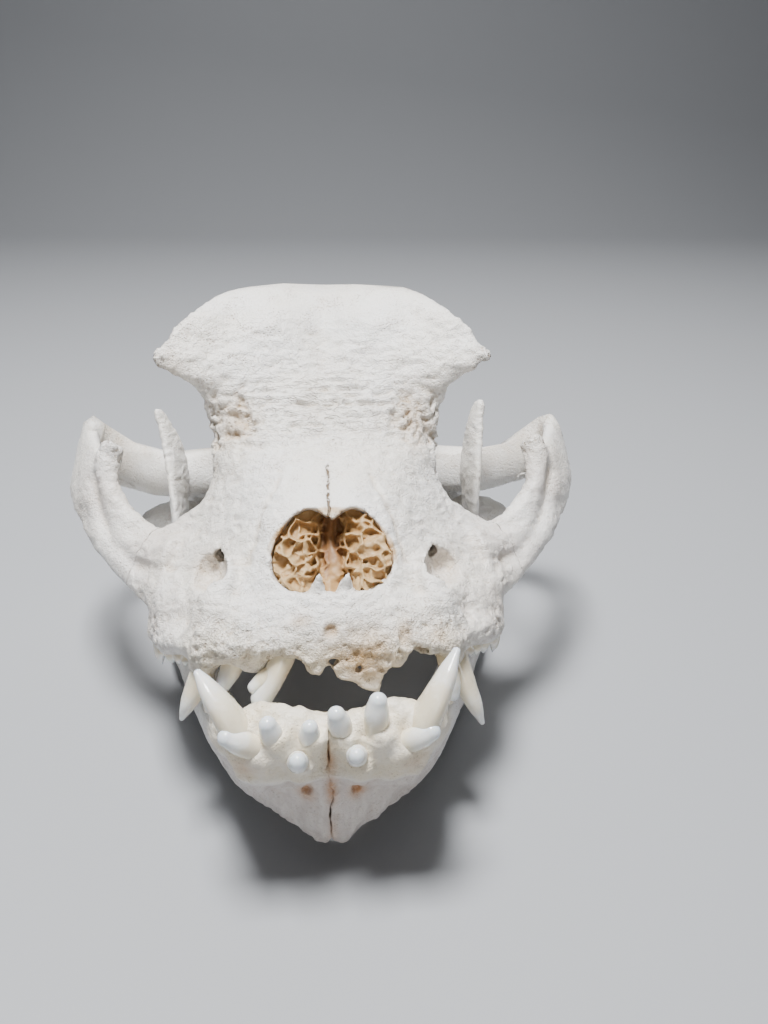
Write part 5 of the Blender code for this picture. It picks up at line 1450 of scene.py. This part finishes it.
def enamel_group():
    """Brownish at the neck, cream, then white and a clear bluish tip; fine upright lines in height."""
    tooth = Recipe("worn_enamel", {"Crown": 0.5})
    where = tooth.place()
    cloud = tooth.noise(where, 3.0, 3)
    level = tooth.given["Crown"] + (cloud - 0.5) * 0.3
    colour = tooth.blend(tooth.spread(level, 0.50, 0.74), ENAMEL_CREAM, ENAMEL_WHITE)
    colour = tooth.blend(tooth.spread(level, 0.68, 0.98), colour, ENAMEL_TIP)
    colour = tooth.blend(tooth.spread(level, 0.40, 0.20, 0.0, 0.3), colour, NECK_BROWN)
    lines = tooth.noise(tooth.place((1.0, 1.0, 0.2)), 0.7, 3)
    return tooth.finish(colour, tooth.spread(cloud, 0.3, 0.7, 0.16, 0.32), lines + cloud * 0.6)


SCROLL_PALE = (0.50, 0.34, 0.17, 1)
SCROLL_HONEY = (0.42, 0.25, 0.10, 1)
SCROLL_BROWN = (0.24, 0.12, 0.05, 1)


def turbinate_group():
    """Pale at the worn front edges and honey brown further in, darker as painted shade deep in and in the
    hollows, with a papery grain.
    """
    scroll = Recipe("turbinate_bone", {"Deep": 0.5})
    cloud = scroll.noise(scroll.place(), 1.6, 4)
    level = scroll.given["Deep"] + (cloud - 0.5) * 0.3
    colour = scroll.blend(scroll.spread(level, 0.0, 0.6), SCROLL_PALE, SCROLL_HONEY)
    colour = scroll.blend(scroll.spread(level, 0.7, 1.0), colour, SCROLL_BROWN)
    return scroll.finish(colour, scroll.spread(cloud, 0.3, 0.7, 0.45, 0.65), cloud)


def material_of(name, group, reads, bump_mm, subsurface, coat=0.0):
    """A Principled surface whose colour, roughness and bump come from a group that reads the attributes."""
    material = bpy.data.materials.new(name)
    material.use_nodes = True
    tree = material.node_tree
    recipe = new_node(tree, "Group", node_tree=group)
    for label, read in reads.items():
        if isinstance(read, str):
            read = new_node(tree, "Attribute", attribute_name=read).outputs["Fac"]
        plug(tree, read, recipe.inputs[label])
    bump_reads = {"Distance": bump_mm * MM, "Strength": 1.0, "Height": recipe.outputs["Height"]}
    bump = new_node(tree, "Bump", bump_reads)
    for label, value in (
        ("Base Color", recipe.outputs["Color"]),
        ("Roughness", recipe.outputs["Roughness"]),
        ("Normal", bump.outputs["Normal"]),
        ("Subsurface Weight", subsurface),
        ("Subsurface Scale", 0.5 * MM),
        ("Subsurface Radius", (1.0, 0.7, 0.45)),
        ("Coat Weight", coat),
        ("Coat Roughness", 0.25),
    ):
        plug(tree, value, tree.nodes["Principled BSDF"].inputs[label])
    return material


bleached = bone_group()
bone_reads = {name: name.lower() for name in BONE_MARKS}
skull_bone = material_of("skull_bone", bleached, {**bone_reads, "Amber": 0.0}, 0.34, 0.04, 0.05)
jaw_bone = material_of("lower_jaw_bone", bleached, {**bone_reads, "Amber": 0.8}, 0.30, 0.04, 0.05)
enamel = material_of("enamel", enamel_group(), {"Crown": "crown"}, 0.03, 0.25, 0.3)
scroll_bone = material_of("scroll_bone", turbinate_group(), {"Deep": "deep"}, 0.08, 0.2)
print("materials:", [material.name for material in (skull_bone, jaw_bone, enamel, scroll_bone)])

# %% [markdown]
# ## Laying the skull to rest
#
# Every piece takes its material and its place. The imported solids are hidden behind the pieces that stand
# for them, and each piece rides on the one body of this still model.

# %% Pieces onto the frame
PIECES = (
    (cranium, skull_bone, "cranium_bone", ("cranium",)),
    (cheeks["left"], skull_bone, "cheek_bone", ("zygomatic_left",)),
    (cheeks["right"], skull_bone, "cheek_bone", ("zygomatic_right",)),
    (jaw_left, jaw_bone, "jaw_bone", ("mandible_left",)),
    (jaw_right, jaw_bone, "jaw_bone", ("mandible_right",)),
    (turbinates, scroll_bone, "turbinate_bone", ("nasal_turbinates",)),
    (upper_teeth, enamel, "cranium_bone", ()),
    (lower_teeth_left, enamel, "jaw_bone", ()),
    (lower_teeth_right, enamel, "jaw_bone", ()),
)
for piece, material, slot, nodes in PIECES:
    piece.data.transform(TO_REST)
    piece.data.materials.clear()
    piece.data.materials.append(material)
    piece.data.polygons.foreach_set("use_smooth", np.ones(len(piece.data.polygons), bool))
    piece.data.update()
    if nodes:
        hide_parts(*nodes)
    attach(piece, "root")
    print(piece.name, triangle_count(piece), "triangles")

# %% [markdown]
# ## Floor, light and camera
#
# The skull lies on a pale floor under wide soft lamps, as in a studio. The camera stands where the
# picture was taken from: a little to the side, above, and close, so the muzzle looms large.


# %% Staging
def sweep_floor(half=0.9, back=0.7, rise=0.9, radius=0.35, steps=24):
    """A floor that curves up into a backdrop: a straight run, a quarter circle, and a straight rise."""
    profile = [(-half * 1.4, 0.0), (back, 0.0)]
    for turn in np.linspace(0, np.pi / 2, steps)[1:]:
        profile.append((back + radius * math.sin(turn), radius * (1 - math.cos(turn))))
    profile.append((back + radius, rise))
    corners = [(x, y, z) for y, z in profile for x in (-1.6 * half, 1.6 * half)]
    mesh = bpy.data.meshes.new("floor")
    mesh.from_pydata(corners, [], [(i, i + 1, i + 3, i + 2) for i in range(0, len(corners) - 2, 2)])
    mesh.polygons.foreach_set("use_smooth", np.ones(len(mesh.polygons), bool))
    material = bpy.data.materials.new("pale_floor")
    material.use_nodes = True
    shader = material.node_tree.nodes["Principled BSDF"]
    shader.inputs["Base Color"].default_value = (0.34, 0.35, 0.37, 1)
    shader.inputs["Roughness"].default_value = 0.6
    mesh.materials.append(material)
    return new_object("floor", mesh)


def lamp(name, place_m, target_m, size, power):
    light = bpy.data.lights.new(name, "AREA")
    light.energy = power
    light.shape = "RECTANGLE"
    light.size, light.size_y = size
    obj = new_object(name, light)
    obj.location = place_m
    obj.rotation_euler = (Vector(target_m) - Vector(place_m)).to_track_quat("-Z", "Y").to_euler()


sweep_floor()
lamp("key", (-0.06, -0.03, 0.70), (0, -0.02, 0.05), (0.19, 0.17), 12.5)
lamp("front", (0.06, -0.62, 0.26), (0, 0, 0.05), (0.16, 0.16), 0.7)
lamp("rim", (0.1, 0.55, 0.60), (0, 0, 0.06), (0.8, 0.3), 2.0)
world = bpy.data.worlds.new("studio")
world.use_nodes = True
world.node_tree.nodes["Background"].inputs["Color"].default_value = (0.80, 0.83, 0.88, 1)
world.node_tree.nodes["Background"].inputs["Strength"].default_value = 0.05
bpy.context.scene.world = world

# %% Camera
CAMERA_PLACE = (0.7, -155.0, 71.1)
PITCH, YAW, ROLL = (math.radians(angle) for angle in (12.12, 3.93, -0.35))
FOCAL_PIXELS, PICTURE_HEIGHT = 812.4, 1024
SENSOR = 36.0
forward = Vector((math.sin(YAW) * math.cos(PITCH), math.cos(YAW) * math.cos(PITCH), -math.sin(PITCH)))
level_right = Vector((math.cos(YAW), -math.sin(YAW), 0))
level_up = level_right.cross(forward)
right = math.cos(ROLL) * level_right + math.sin(ROLL) * level_up
upward = math.cos(ROLL) * level_up - math.sin(ROLL) * level_right
lens = bpy.data.cameras.new("camera")
lens.lens = FOCAL_PIXELS / PICTURE_HEIGHT * SENSOR
lens.sensor_width = SENSOR
lens.clip_start = 0.01
camera = new_object("camera", lens)
turned = Matrix((right, upward, -forward)).transposed().to_4x4()
camera.matrix_world = TO_REST @ Matrix.Translation(Vector(CAMERA_PLACE) * MM) @ turned
bpy.context.scene.camera = camera
print("camera at", [round(c, 3) for c in camera.matrix_world.translation])
